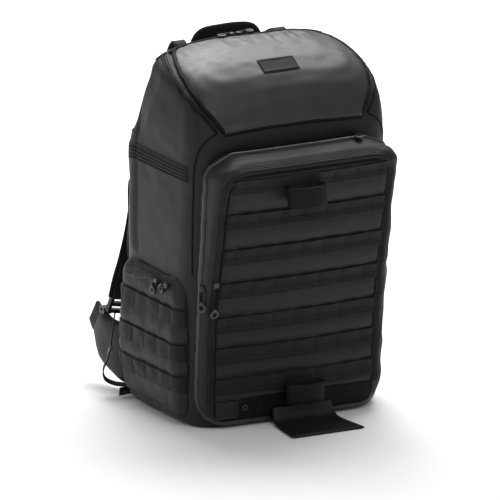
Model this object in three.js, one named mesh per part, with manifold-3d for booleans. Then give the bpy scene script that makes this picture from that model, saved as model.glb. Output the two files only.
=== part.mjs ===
// A tall camera backpack standing on its flat base, in millimetres.
// X runs to the right of someone facing its front, Y from the front towards the wearer and Z up.
// The origin is the middle of the flat base.
import * as THREE from "three";
import { mergeVertices } from "three/addons/utils/BufferGeometryUtils.js";
import Module from "manifold-3d";

const wasm = await Module();
wasm.setup();

// Driving dimensions: the bag
const bodyWidth = 336;
const frontReach = 118;
const backReach = 115;
const bodyHeight = 561;
const bodyWall = 7;
const cornerRound = 38;
const shoulderDrop = 52;

// Driving dimensions: the front compartment and the side pockets
const compartmentMargin = 12;
const compartmentLift = 8;
const seamBand = 33;
const compartmentBulge = 64;
const compartmentWall = 3;
const pocketHeight = 223;
const pocketLift = 6;
const leftPocketLength = 194;
const leftPocketBulge = 20;
const rightPocketLength = 176;
const rightPocketBulge = 17;
const pocketWall = 3;

// Driving dimensions: webbing, straps and padding
const webbingWidth = 25.4;
const webbingThick = 1.8;
const zipWidth = 10;
const backPadThick = 12;
const strapWidth = 62;
const strapThick = 13;
const strapReach = 40;
const strapWebbingWidth = 20;
const beltHeight = 118;
const beltThick = 13;
const beltReach = 110;
const beltTabLength = 21;
const handleSpan = 98;
const handleRise = 32;
const loopHeight = 32;
const loopWidth = 64;
const loopDepth = 32;
const sleeveWidth = 104;
const sleeveLength = 84;
const sleeveHang = 28;
const sleeveWall = 1.3;
const sleeveMouth = 11;
const patchWidth = 62;
const patchHeight = 30;
const eyeletRadius = 5;

// What lies on another piece keeps this clearance to it.
const seatGap = 0.4;
const seamGap = 0.5;

const halfWidth = bodyWidth / 2;
const lidSeamHeight = 0.823 * bodyHeight;
const compartmentWidth = bodyWidth - 2 * compartmentMargin;
const compartmentHeight = lidSeamHeight - seamBand - compartmentLift;

const materials = {
  coated: new THREE.MeshStandardMaterial({ color: 0x2b2b2c, roughness: 0.55, metalness: 0 }),
  webbing: new THREE.MeshStandardMaterial({ color: 0x1c1c1d, roughness: 0.8, metalness: 0 }),
  mesh: new THREE.MeshStandardMaterial({ color: 0x161616, roughness: 0.95, metalness: 0 }),
  rubber: new THREE.MeshStandardMaterial({ color: 0x202020, roughness: 0.6, metalness: 0 }),
  plastic: new THREE.MeshStandardMaterial({ color: 0x18181a, roughness: 0.4, metalness: 0 }),
  metal: new THREE.MeshStandardMaterial({ color: 0x4a4b4d, roughness: 0.35, metalness: 0.9 }),
};

const backpack = new THREE.Group();

// Gives a geometry as a solid that can be cut and joined.
function toSolid(geometry) {
  const bare = new THREE.BufferGeometry();
  bare.setAttribute("position", geometry.getAttribute("position").clone());
  if (geometry.index) bare.setIndex(geometry.index.clone());
  const merged = mergeVertices(bare, 1e-4);
  const vertProperties = merged.getAttribute("position").array;
  const triVerts = new Uint32Array(merged.index.array);
  return new wasm.Manifold(new wasm.Mesh({ numProp: 3, vertProperties, triVerts }));
}

function toGeometry(solid) {
  const mesh = solid.getMesh();
  const geometry = new THREE.BufferGeometry();
  geometry.setAttribute("position", new THREE.BufferAttribute(new Float32Array(mesh.vertProperties), 3));
  geometry.setIndex(new THREE.BufferAttribute(new Uint32Array(mesh.triVerts), 1));
  geometry.computeVertexNormals();
  return geometry;
}

// Adds a piece, given as a solid or a geometry, to the backpack.
function addPiece(name, shape, material, parent = backpack) {
  const geometry = shape.isBufferGeometry ? shape : toGeometry(shape);
  const mesh = new THREE.Mesh(geometry, material);
  mesh.name = name;
  parent.add(mesh);
  return mesh;
}

// Joins rings with the same number of points into one closed geometry that faces out. The diagonals of
// its faces mirror each other across the middle of the bag, so a mirrored neighbour keeps its clearance.
function loft(rings) {
  const count = rings[0].length;
  const points = rings.flat();
  const index = [];
  for (let level = 0; level < rings.length - 1; level++) {
    for (let i = 0; i < count; i++) {
      const a = level * count + i;
      const b = level * count + ((i + 1) % count);
      if (points[a].x + points[b].x > 0) index.push(a, b, b + count, a, b + count, a + count);
      else index.push(a, b, a + count, b, b + count, a + count);
    }
  }
  const last = (rings.length - 1) * count;
  for (const [start, turn] of [[0, 1], [last, 0]]) {
    const middle = new THREE.Vector3();
    for (let i = 0; i < count; i++) middle.addScaledVector(points[start + i], 1 / count);
    const hub = points.push(middle) - 1;
    for (let i = 0; i < count; i++) {
      const pair = [start + i, start + ((i + 1) % count)];
      index.push(hub, pair[turn], pair[1 - turn]);
    }
  }
  let volume = 0;
  for (let i = 0; i < index.length; i += 3) {
    const [a, b, c] = [points[index[i]], points[index[i + 1]], points[index[i + 2]]];
    volume += a.dot(b.clone().cross(c));
  }
  if (volume < 0) index.reverse();
  const geometry = new THREE.BufferGeometry();
  const places = points.flatMap((p) => p.toArray());
  geometry.setAttribute("position", new THREE.Float32BufferAttribute(places, 3));
  geometry.setIndex(index);
  return geometry;
}

// Moves every point of the rings outwards, along the surface's own normal. A negative distance moves it
// inwards.
function swell(rings, distance) {
  const count = rings[0].length;
  return rings.map((ring, level) =>
    ring.map((point, i) => {
      const below = rings[Math.max(level - 1, 0)][i];
      const above = rings[Math.min(level + 1, rings.length - 1)][i];
      const before = ring[(i + count - 1) % count];
      const after = ring[(i + 1) % count];
      const around = after.clone().sub(before);
      const normal = around.cross(above.clone().sub(below)).normalize();
      return point.clone().addScaledVector(normal, distance);
    }),
  );
}

// The hollow inside rings, a wall's thickness in. It keeps every second ring and both ends.
function hollowOf(rings, wall) {
  const kept = rings.filter((_, level) => level % 2 === 0 || level === rings.length - 1);
  return toSolid(loft(swell(kept, -wall)));
}

// Reads a column of a table at a value of its first column, on a smooth curve through the rows.
function readTable(table, key, column, at) {
  const last = table.length - 1;
  let row = 0;
  while (row < last - 1 && at > table[row + 1][key]) row++;
  const [low, high] = [table[row], table[row + 1]];
  const span = high[key] - low[key];
  const t = Math.min(Math.max((at - low[key]) / span, 0), 1);
  const slope = (i) => {
    const before = table[Math.max(i - 1, 0)];
    const after = table[Math.min(i + 1, last)];
    return ((after[column] - before[column]) / (after[key] - before[key])) * span;
  };
  const h = [(1 + 2 * t) * (1 - t) ** 2, t * (1 - t) ** 2, t * t * (3 - 2 * t), t * t * (t - 1)];
  return h[0] * low[column] + h[1] * slope(row) + h[2] * high[column] + h[3] * slope(row + 1);
}

// A closed outline, counterclockwise from above, of a plan with two corner sizes.
function planOutline(plan, cornerSteps, edgeSteps) {
  const corners = [
    { side: 1, end: plan.front, round: plan.frontRound, from: -90 },
    { side: 1, end: plan.back, round: plan.backRound, from: 0 },
    { side: -1, end: plan.back, round: plan.backRound, from: 90 },
    { side: -1, end: plan.front, round: plan.frontRound, from: 180 },
  ];
  const arcs = corners.map(({ side, end, round, from }) => {
    const x = side * (plan.half - round);
    const y = end - Math.sign(end - (plan.front + plan.back) / 2) * round;
    return Array.from({ length: cornerSteps + 1 }, (_, step) => {
      const turn = THREE.MathUtils.degToRad(from + (90 * step) / cornerSteps);
      return new THREE.Vector2(x + round * Math.cos(turn), y + round * Math.sin(turn));
    });
  });
  const points = [];
  arcs.forEach((arc, i) => {
    const next = arcs[(i + 1) % arcs.length][0];
    points.push(...arc);
    for (let step = 1; step < edgeSteps; step++) {
      points.push(arc[cornerSteps].clone().lerp(next, step / edgeSteps));
    }
  });
  return points;
}

// A box between two corners, as a solid.
function boxBetween(low, high) {
  const size = high.clone().sub(low);
  const box = new THREE.BoxGeometry(size.x, size.y, size.z);
  const middle = low.clone().add(high).multiplyScalar(0.5);
  return toSolid(box.translate(middle.x, middle.y, middle.z));
}

function extrude(shape, depth, curveSegments = 4) {
  return new THREE.ExtrudeGeometry(shape, { depth, bevelEnabled: false, curveSegments });
}

// A layer of cloth that lies on a swelling form, cut to a region of it.
function layerOn(rings, thickness, region, gap = seatGap) {
  const outer = toSolid(loft(swell(rings, gap + thickness)));
  return outer.intersect(region).subtract(toSolid(loft(swell(rings, gap))));
}

function mirrored(geometryOrSolid) {
  const geometry = geometryOrSolid.isBufferGeometry ? geometryOrSolid.clone() : toGeometry(geometryOrSolid);
  geometry.scale(-1, 1, 1);
  const index = Array.from(geometry.index.array).reverse();
  geometry.setIndex(index);
  return geometry;
}

// A flat or padded band along a path. Each station gives a place, a width, a thickness and either the
// direction across the band or the way that its face looks. The swelling grows every side of it by a
// clearance.
function band(stations, steps, padded = false, swelling = 0) {
  const path = new THREE.CatmullRomCurve3(stations.map((station) => station.at), false, "centripetal");
  const flat = [[-1, -1], [1, -1], [1, 1], [-1, 1]];
  const lowerHalf = [[-1, 0], [-0.9, -0.72], [-0.55, -1], [0.55, -1], [0.9, -0.72]];
  const crowned = [...lowerHalf, ...lowerHalf.map(([u, v]) => [-u, -v])];
  const section = padded ? crowned : flat;
  const rings = [];
  for (let step = 0; step <= steps; step++) {
    const place = (step / steps) * (stations.length - 1);
    const row = Math.min(Math.floor(place), stations.length - 2);
    const [low, high] = [stations[row], stations[row + 1]];
    const mix = place - row;
    const at = path.getPoint(step / steps);
    const tangent = path.getTangent(step / steps);
    const across = new THREE.Vector3();
    if (low.facing) across.lerpVectors(low.facing, high.facing, mix).cross(tangent);
    else across.lerpVectors(low.across, high.across, mix);
    across.addScaledVector(tangent, -across.dot(tangent)).normalize();
    const normal = tangent.clone().cross(across);
    const width = THREE.MathUtils.lerp(low.width, high.width, mix) / 2 + swelling;
    const thick = THREE.MathUtils.lerp(low.thick, high.thick, mix) / 2 + swelling;
    const offset = ([u, v]) => at.clone().addScaledVector(across, u * width).addScaledVector(normal, v * thick);
    rings.push(section.map(offset));
  }
  return loft(rings);
}

// The bag's walls, from the base to the shoulder line. All are shares: up of the shoulder height, wide of
// the half width, front and back of the two reaches, and the two rounds of cornerRound.
const wallSections = [
  { up: 0, wide: 0.885, front: 0.86, back: 0.88, frontRound: 0.8, backRound: 0.9 },
  { up: 0.012, wide: 0.94, front: 0.915, back: 0.94, frontRound: 0.9, backRound: 1 },
  { up: 0.04, wide: 0.985, front: 0.945, back: 0.985, frontRound: 1, backRound: 1 },
  { up: 0.09, wide: 1, front: 0.955, back: 1, frontRound: 1, backRound: 1 },
  { up: 0.5, wide: 1, front: 0.985, back: 1, frontRound: 1, backRound: 1 },
  { up: 0.78, wide: 1, front: 1.02, back: 1, frontRound: 0.95, backRound: 1.25 },
  { up: 0.87, wide: 0.998, front: 1.03, back: 0.995, frontRound: 0.9, backRound: 2.2 },
  { up: 0.95, wide: 0.99, front: 1.045, back: 0.98, frontRound: 0.9, backRound: 2.65 },
  { up: 1, wide: 0.975, front: 1.06, back: 0.955, frontRound: 1, backRound: 3 },
];

// The middle line of the top, from the front edge to the back: out is a share of frontReach, or of
// backReach where it is positive, and high a share of bodyHeight.
const topProfile = [
  { out: -1.09, high: 0.79 },
  { out: -1.04, high: 0.843 },
  { out: -0.93, high: 0.9 },
  { out: -0.63, high: 0.957 },
  { out: -0.17, high: 0.991 },
  { out: 0.27, high: 1 },
  { out: 0.5, high: 0.984 },
  { out: 0.72, high: 0.951 },
  { out: 0.87, high: 0.91 },
  { out: 1, high: 0.85 },
];

// Rings on top of the bag, as shares of the way from its middle to the shoulder line.
const topShares = [0.98, 0.93, 0.85, 0.73, 0.55, 0.32, 0.1];
const topMiddle = 0.17 * backReach;
const crownPower = 3;

function topHeight(y) {
  return bodyHeight * readTable(topProfile, "out", "high", y / (y < 0 ? frontReach : backReach));
}

function bodyRings() {
  const plan = (up) => ({
    half: halfWidth * readTable(wallSections, "up", "wide", up),
    front: -frontReach * readTable(wallSections, "up", "front", up),
    back: backReach * readTable(wallSections, "up", "back", up),
    frontRound: cornerRound * readTable(wallSections, "up", "frontRound", up),
    backRound: cornerRound * readTable(wallSections, "up", "backRound", up),
  });
  const levels = wallSections.map((row) => row.up);
  const outlines = levels.map((up) => planOutline(plan(up), 4, 3));
  const shoulder = outlines[outlines.length - 1];
  const side = shoulder.map((p) => (p.x / halfWidth) ** 2);
  const shoulderHeight = shoulder.map((p, i) => topHeight(p.y) - shoulderDrop * side[i]);
  const walls = outlines.map((outline, level) =>
    outline.map((p, i) => new THREE.Vector3(p.x, p.y, levels[level] * shoulderHeight[i])),
  );
  const top = topShares.map((share) => {
    const fall = 1 - (1 - share ** crownPower) ** (1 / crownPower);
    return shoulder.map((p, i) => {
      const y = topMiddle + share * (p.y - topMiddle);
      return new THREE.Vector3(share * p.x, y, topHeight(y) - shoulderDrop * side[i] * fall);
    });
  });
  return [...walls, ...top];
}

const body = bodyRings();
const bodyClear = toSolid(loft(swell(body, seatGap)));

// The lid's outline lies in a plane that leans back from the front seam to the ridge: along is a share of
// its length and half a share of the half width.
const lidOutline = [
  { along: 0, half: 0.7 },
  { along: 0.1, half: 0.79 },
  { along: 0.2, half: 0.855 },
  { along: 0.37, half: 0.895 },
  { along: 0.6, half: 0.88 },
  { along: 0.77, half: 0.833 },
  { along: 0.9, half: 0.775 },
  { along: 0.97, half: 0.71 },
  { along: 1, half: 0.63 },
];
const lidSeam = new THREE.Vector2(-1.05 * frontReach, lidSeamHeight);
const lidRidge = new THREE.Vector2(0.27 * backReach, bodyHeight);
const lidLength = lidSeam.distanceTo(lidRidge);
const lidLean = Math.atan2(lidRidge.y - lidSeam.y, lidRidge.x - lidSeam.x);

// Turns a shape drawn on the lid's plane into a prism that passes through the top of the bag.
function lidPrism(shape) {
  const depth = 0.25 * bodyHeight;
  const below = 0.06 * bodyHeight;
  const prism = extrude(shape, depth).translate(0, 0, -below);
  return toSolid(prism.rotateX(lidLean).translate(0, lidSeam.x, lidSeam.y));
}

function lidShape(margin) {
  const right = lidOutline.map(({ along, half }) => {
    const grown = along * (lidLength + 2 * margin) - margin;
    return new THREE.Vector2(half * halfWidth + margin, grown);
  });
  const left = right.map((p) => new THREE.Vector2(-p.x, p.y)).reverse();
  return new THREE.Shape([...right, ...left]);
}

function buildBody() {
  const shell = toSolid(loft(body)).subtract(hollowOf(body, bodyWall));
  addPiece("body_shell", shell.subtract(lidPrism(lidShape(seamGap / 2))), materials.coated);
  addPiece("lid", shell.intersect(lidPrism(lidShape(-seamGap / 2))), materials.coated);

  const zipRing = lidPrism(lidShape(0.6 * zipWidth)).subtract(lidPrism(lidShape(-0.4 * zipWidth)));
  const hinge = new THREE.Shape([
    new THREE.Vector2(-halfWidth, -zipWidth),
    new THREE.Vector2(halfWidth, -zipWidth),
    new THREE.Vector2(halfWidth, zipWidth),
    new THREE.Vector2(-halfWidth, zipWidth),
  ]);
  addPiece("lid_zip", layerOn(body, webbingThick, zipRing.subtract(lidPrism(hinge))), materials.webbing);

  const patchAlong = 0.45 * lidLength;
  const patch = new THREE.Shape([
    new THREE.Vector2(-patchWidth / 2, patchAlong - patchHeight / 2),
    new THREE.Vector2(patchWidth / 2, patchAlong - patchHeight / 2),
    new THREE.Vector2(patchWidth / 2, patchAlong + patchHeight / 2),
    new THREE.Vector2(-patchWidth / 2, patchAlong + patchHeight / 2),
  ]);
  addPiece("lid_patch", layerOn(body, webbingThick, lidPrism(patch)), materials.rubber);
}

// Extrudes a shape drawn in X and Z towards the front, from the middle of the bag.
function facePrism(shape) {
  const turn = new THREE.Matrix4().makeBasis(
    new THREE.Vector3(1, 0, 0),
    new THREE.Vector3(0, 0, 1),
    new THREE.Vector3(0, -1, 0),
  );
  return toSolid(extrude(shape, 3 * frontReach).applyMatrix4(turn));
}

// Extrudes a shape drawn in Y and Z to both sides of the bag.
function sidePrism(shape) {
  const turn = new THREE.Matrix4().makeBasis(
    new THREE.Vector3(0, 1, 0),
    new THREE.Vector3(0, 0, 1),
    new THREE.Vector3(1, 0, 0),
  );
  return toSolid(extrude(shape, 2 * bodyWidth).translate(0, 0, -bodyWidth).applyMatrix4(turn));
}

// An arch with round upper corners, open at the foot.
function archOutline(half, low, high, round) {
  const shape = new THREE.Shape();
  shape.moveTo(-half, low);
  shape.lineTo(-half, high - round);
  shape.absarc(-half + round, high - round, round, Math.PI, Math.PI / 2, true);
  shape.lineTo(half - round, high);
  shape.absarc(half - round, high - round, round, Math.PI / 2, 0, true);
  shape.lineTo(half, low);
  return shape;
}

// A band along the inside of that outline.
function archShape(half, low, high, round, width) {
  const shape = archOutline(half, low, high, round);
  shape.lineTo(half - width, low);
  shape.lineTo(half - width, high - round);
  shape.absarc(half - round, high - round, round - width, 0, Math.PI / 2, false);
  shape.lineTo(-half + round, high - width);
  shape.absarc(-half + round, high - round, round - width, Math.PI / 2, Math.PI, false);
  shape.lineTo(-half + width, low);
  return shape;
}

// The front compartment: up is a share of its height, wide of its half width and bulge of
// compartmentBulge.
const compartmentSections = [
  { up: 0, wide: 0.76, bulge: 0 },
  { up: 0.012, wide: 0.85, bulge: 0.05 },
  { up: 0.035, wide: 0.93, bulge: 0.08 },
  { up: 0.07, wide: 0.98, bulge: 0.09 },
  { up: 0.11, wide: 1, bulge: 0.09 },
  { up: 0.225, wide: 1, bulge: 0.1 },
  { up: 0.33, wide: 1, bulge: 0.14 },
  { up: 0.44, wide: 1, bulge: 0.22 },
  { up: 0.545, wide: 1, bulge: 0.36 },
  { up: 0.67, wide: 0.99, bulge: 0.55 },
  { up: 0.8, wide: 0.985, bulge: 0.71 },
  { up: 0.864, wide: 0.985, bulge: 0.83 },
  { up: 0.932, wide: 0.97, bulge: 0.98 },
  { up: 0.964, wide: 0.925, bulge: 0.93 },
  { up: 0.986, wide: 0.83, bulge: 0.77 },
  { up: 1, wide: 0.73, bulge: 0.5 },
];
const compartmentRound = 0.5 * cornerRound;
const compartmentRear = -0.7 * frontReach;

function compartmentRings() {
  return compartmentSections.map(({ up, wide, bulge }) => {
    const plan = {
      half: (wide * compartmentWidth) / 2,
      front: -frontReach - bulge * compartmentBulge,
      back: compartmentRear,
      frontRound: compartmentRound * (0.6 + 0.4 * bulge),
      backRound: 1,
    };
    const z = compartmentLift + up * compartmentHeight;
    return planOutline(plan, 3, 1).map((p) => new THREE.Vector3(p.x, p.y, z));
  });
}

const compartment = compartmentRings();
const rowsClear = toSolid(loft(swell(compartment, 2 * seatGap + webbingThick)));

// The height of a share of the compartment's height, and how far forward its face stands there.
function compartmentHeightAt(share) {
  return compartmentLift + share * compartmentHeight;
}

function faceAt(share) {
  return -frontReach - compartmentBulge * readTable(compartmentSections, "up", "bulge", share);
}

// The webbing rows on the face, from the top down: the share of the compartment's height at each row's
// top edge.
const faceRows = [0.934, 0.798, 0.663, 0.533, 0.402, 0.285, 0.171];
const faceHalf = 0.44 * compartmentWidth;

// The piping's rear edge on the compartment's sides: out is a share of frontReach and up of the
// compartment's height.
const pipingLine = [
  { out: 0.85, up: 0 },
  { out: 0.88, up: 0.1 },
  { out: 0.9, up: 0.177 },
  { out: 1.11, up: 0.908 },
  { out: 1.14, up: 1.046 },
];
const pipingWidth = 5;

function buildCompartment() {
  const tray = toSolid(loft(compartment)).subtract(hollowOf(compartment, compartmentWall));
  addPiece("front_compartment", tray.subtract(bodyClear), materials.coated);

  const zipHalf = faceHalf + zipWidth;
  const zipLow = compartmentHeightAt(0.075);
  const zipHigh = compartmentHeightAt(0.968);
  const zipBand = 0.8 * zipWidth;
  const bandClear = zipBand + 2 * seatGap;
  const zipClear = facePrism(archShape(zipHalf + seatGap, 0, zipHigh + seatGap, cornerRound, bandClear));

  const pipingPlace = ({ out, up }) => new THREE.Vector2(-out * frontReach, compartmentHeightAt(up));
  const rear = pipingLine.map(pipingPlace);
  const front = rear.map((p) => new THREE.Vector2(p.x - pipingWidth, p.y)).reverse();
  const piping = layerOn(compartment, webbingThick, sidePrism(new THREE.Shape([...rear, ...front])));
  addPiece("compartment_piping", piping.subtract(bodyClear).subtract(zipClear), materials.rubber);

  const zip = facePrism(archShape(zipHalf, zipLow, zipHigh, cornerRound, zipBand));
  addPiece("front_zip", layerOn(compartment, webbingThick, zip).subtract(bodyClear), materials.webbing);

  const inset = zipBand + seatGap;
  const withinZip = facePrism(archOutline(zipHalf - inset, 0, zipHigh - inset, cornerRound - inset));

  faceRows.forEach((top, i) => {
    const high = compartmentHeightAt(top);
    const region = boxBetween(
      new THREE.Vector3(-faceHalf, -3 * frontReach, high - webbingWidth),
      new THREE.Vector3(faceHalf, compartmentRear, high),
    );
    const row = layerOn(compartment, webbingThick, region.intersect(withinZip));
    addPiece(`face_row_${i + 1}`, row, materials.webbing);
  });

  const hemHigh = compartmentHeightAt(0.088);
  const hem = boxBetween(
    new THREE.Vector3(-faceHalf, -3 * frontReach, compartmentHeightAt(0.018)),
    new THREE.Vector3(faceHalf, compartmentRear, hemHigh),
  );
  addPiece("face_hem", layerOn(compartment, webbingThick, hem).subtract(bodyClear), materials.coated);

  const eyelet = new THREE.LatheGeometry(
    [[0.5, 0], [1, 0], [1, 0.24], [0.75, 0.34], [0.5, 0.24], [0.5, 0]].map(
      ([radius, rise]) => new THREE.Vector2(radius * eyeletRadius, rise * eyeletRadius),
    ),
    14,
  );
  const ring = addPiece("hem_eyelet", eyelet, materials.metal);
  const hemMiddle = 0.055;
  ring.rotation.x = Math.PI;
  ring.position.set(
    -0.605 * faceHalf,
    faceAt(0.07) - 2 * seatGap - webbingThick,
    compartmentHeightAt(hemMiddle),
  );
}

// The side pockets: up is a share of the height, long of the half length and out of the bulge.
const pocketSections = [
  { up: 0, long: 0.88, out: -0.35 },
  { up: 0.05, long: 0.95, out: 0.05 },
  { up: 0.12, long: 0.99, out: 0.4 },
  { up: 0.3, long: 1, out: 0.72 },
  { up: 0.5, long: 1, out: 0.78 },
  { up: 0.75, long: 1, out: 0.62 },
  { up: 0.9, long: 0.99, out: 0.45 },
  { up: 0.96, long: 0.95, out: 0.34 },
  { up: 1, long: 0.86, out: 0.16 },
];
const pocketRear = 0.86 * backReach;
const pocketRound = 0.45 * cornerRound;

// Both pockets are laid out on the left side, and the right one is mirrored afterwards.
function pocketRings(length, bulge) {
  const middle = pocketRear - length / 2;
  return pocketSections.map(({ up, long, out }) => {
    const plan = {
      half: (long * length) / 2,
      front: -halfWidth - out * bulge,
      back: -0.7 * halfWidth,
      frontRound: pocketRound,
      backRound: 1,
    };
    const z = pocketLift + up * pocketHeight;
    return planOutline(plan, 2, 1).map((p) => new THREE.Vector3(p.y, middle - p.x, z));
  });
}

const pocketSides = [
  { name: "left", length: leftPocketLength, bulge: leftPocketBulge, place: (shape) => toGeometry(shape) },
  { name: "right", length: rightPocketLength, bulge: rightPocketBulge, place: mirrored },
];

// The pocket's webbing rows: the share of its height at each row's top edge.
const pocketRows = [0.8, 0.56, 0.34];

// A region of the left side between two heights and two places along Y.
function sideBand(low, high, front, back) {
  return boxBetween(new THREE.Vector3(-bodyWidth, front, low), new THREE.Vector3(0, back, high));
}

function addPair(name, shape, material) {
  const left = shape.isBufferGeometry ? shape : toGeometry(shape);
  addPiece(`${name}_left`, left, material);
  addPiece(`${name}_right`, mirrored(left), material);
}

function buildPocket({ name, length, bulge, place }) {
  const rings = pocketRings(length, bulge);
  const tray = toSolid(loft(rings)).subtract(hollowOf(rings, pocketWall)).subtract(bodyClear);
  addPiece(`side_pocket_${name}`, place(tray.subtract(rowsClear)), materials.coated);

  pocketRows.forEach((top, i) => {
    const high = pocketLift + top * pocketHeight;
    const [front, back] = [pocketRear - 0.96 * length, pocketRear - 0.04 * length];
    const region = sideBand(high - webbingWidth, high, front, back);
    const row = layerOn(rings, webbingThick, region).subtract(bodyClear);
    addPiece(`pocket_row_${i + 1}_${name}`, place(row), materials.webbing);
  });

  const zipHigh = pocketLift + 0.97 * pocketHeight;
  const zip = layerOn(rings, webbingThick, sideBand(zipHigh - zipWidth, zipHigh, -frontReach, backReach));
  addPiece(`pocket_zip_${name}`, place(zip.subtract(bodyClear).subtract(rowsClear)), materials.webbing);
}

function buildSides() {
  pocketSides.forEach(buildPocket);
  const stripHigh = 0.727 * bodyHeight;
  const strip = sideBand(stripHigh - webbingWidth, stripHigh, -0.94 * frontReach, 0.76 * backReach);
  addPair("side_strip", layerOn(body, webbingThick, strip), materials.webbing);
}

// A zip slider with its pull and a round tip, hanging down from the origin and facing the front.
const sliderSize = new THREE.Vector3(8, 5, 10);
const pullTipRadius = 7.5;

function zipPull(length) {
  const slider = toSolid(new THREE.BoxGeometry(...sliderSize));
  const pull = boxBetween(
    new THREE.Vector3(-0.2 * sliderSize.x, -0.3 * sliderSize.y, pullTipRadius - length),
    new THREE.Vector3(0.2 * sliderSize.x, 0.3 * sliderSize.y, 0),
  );
  const tip = new THREE.TorusGeometry(0.74 * pullTipRadius, 0.26 * pullTipRadius, 4, 9);
  tip.rotateX(Math.PI / 2).translate(0, 0, pullTipRadius - length);
  return toGeometry(slider.add(pull).add(toSolid(tip)));
}

function addPull(name, length, position, rotation) {
  const pull = addPiece(name, zipPull(length), materials.metal);
  pull.position.copy(position);
  pull.rotation.set(...rotation);
}

function buildPulls() {
  const half = sliderSize.y / 2 + seatGap;
  const zipFace = webbingThick + 2 * seatGap;
  const facePullLength = 52;
  const faceShare = 0.534;
  const lowShare = faceShare - facePullLength / compartmentHeight;
  const faceLean = Math.atan2(faceAt(faceShare) - faceAt(lowShare), facePullLength);
  const facePlace = new THREE.Vector3(
    -faceHalf - 0.55 * zipWidth,
    faceAt(faceShare) - zipFace - half - seatGap / 2,
    compartmentHeightAt(faceShare),
  );
  addPull("front_pull_1", facePullLength, facePlace, [-faceLean, 0, 0.12]);
  const sidePlace = new THREE.Vector3(
    -compartmentWidth / 2 - seatGap - half,
    -1.1 * frontReach,
    compartmentHeightAt(0.515),
  );
  addPull("front_pull_2", 34, sidePlace, [0, 0, Math.PI / 2]);
  const topPlace = new THREE.Vector3(
    0.62 * halfWidth,
    -1.14 * frontReach,
    compartmentHeightAt(1) + zipFace + sliderSize.y / 2,
  );
  addPull("front_pull_3", 22, topPlace, [-Math.PI / 2, 0.5, 0]);

  const lidPlace = (share) =>
    new THREE.Vector3(share * halfWidth, 0.3 * backReach, bodyHeight + zipFace + sliderSize.y / 2);
  addPull("lid_pull_1", 26, lidPlace(-0.12), [Math.PI / 2, 1.75, 0]);
  addPull("lid_pull_2", 26, lidPlace(-0.04), [Math.PI / 2, -1.4, 0]);

  for (const { name, length, bulge } of pocketSides) {
    const side = name === "left" ? -1 : 1;
    [0.64, 0.8].forEach((share, i) => {
      const place = new THREE.Vector3(
        side * (halfWidth + 0.388 * bulge + zipFace + half),
        pocketRear - share * length,
        pocketLift + 0.945 * pocketHeight,
      );
      addPull(`pocket_pull_${i + 1}_${name}`, 24, place, [0.6 + 0.5 * i, 0, Math.PI / 2]);
    });
  }
}

// Places behind the bag, as shares: x of the half width, y of a reach behind the back, z of the bag's
// height.
function behind(x, y, z, reach) {
  return new THREE.Vector3(x * halfWidth, backReach + y * reach, z * bodyHeight);
}

// The left shoulder strap, from the yoke to the lower end: wide is a share of strapWidth and thick of
// strapThick.
const strapRows = [
  { x: -0.36, y: -0.78, z: 0.905, wide: 0.94, thick: 0.7 },
  { x: -0.375, y: -0.15, z: 0.922, wide: 0.97, thick: 0.9 },
  { x: -0.387, y: 0.4, z: 0.9, wide: 1, thick: 1 },
  { x: -0.4, y: 0.7, z: 0.862, wide: 1, thick: 1 },
  { x: -0.42, y: 0.82, z: 0.812, wide: 1, thick: 1 },
  { x: -0.465, y: 0.86, z: 0.745, wide: 1, thick: 1 },
  { x: -0.54, y: 0.82, z: 0.656, wide: 0.98, thick: 1 },
  { x: -0.61, y: 0.74, z: 0.553, wide: 0.94, thick: 1 },
  { x: -0.685, y: 0.68, z: 0.455, wide: 0.87, thick: 0.95 },
  { x: -0.765, y: 0.72, z: 0.374, wide: 0.78, thick: 0.9 },
  { x: -0.835, y: 0.8, z: 0.312, wide: 0.7, thick: 0.85 },
  { x: -0.88, y: 0.87, z: 0.264, wide: 0.62, thick: 0.75 },
];

// The webbing below the strap's buckle, as the other places behind the bag, in shares of strapReach.
const lowerRows = [
  { x: -0.915, y: 1.06, z: 0.215 },
  { x: -0.955, y: 0.9, z: 0.18 },
  { x: -1, y: 0.66, z: 0.15 },
  { x: -1.035, y: 0.5, z: 0.123 },
  { x: -1.09, y: 0.4, z: 0.095 },
  { x: -1.125, y: 0.36, z: 0.072 },
  { x: -1.11, y: 0.3, z: 0.05 },
  { x: -1.03, y: 0.2, z: 0.036 },
  { x: -0.95, y: 0.02, z: 0.032 },
  { x: -0.87, y: -0.3, z: 0.03 },
];

function strapStations() {
  const across = new THREE.Vector3(1, 0, 0);
  return strapRows.map(({ x, y, z, wide, thick }) => ({
    at: behind(x, y, z, strapReach),
    across,
    width: wide * strapWidth,
    thick: thick * strapThick,
  }));
}

// A webbing band through places given as vectors, all with one width and one direction across it.
function webbing(places, width, across, steps, swelling = 0) {
  const stations = places.map((at) => ({ at, across, width, thick: webbingThick }));
  return band(stations, steps, false, swelling);
}

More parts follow.
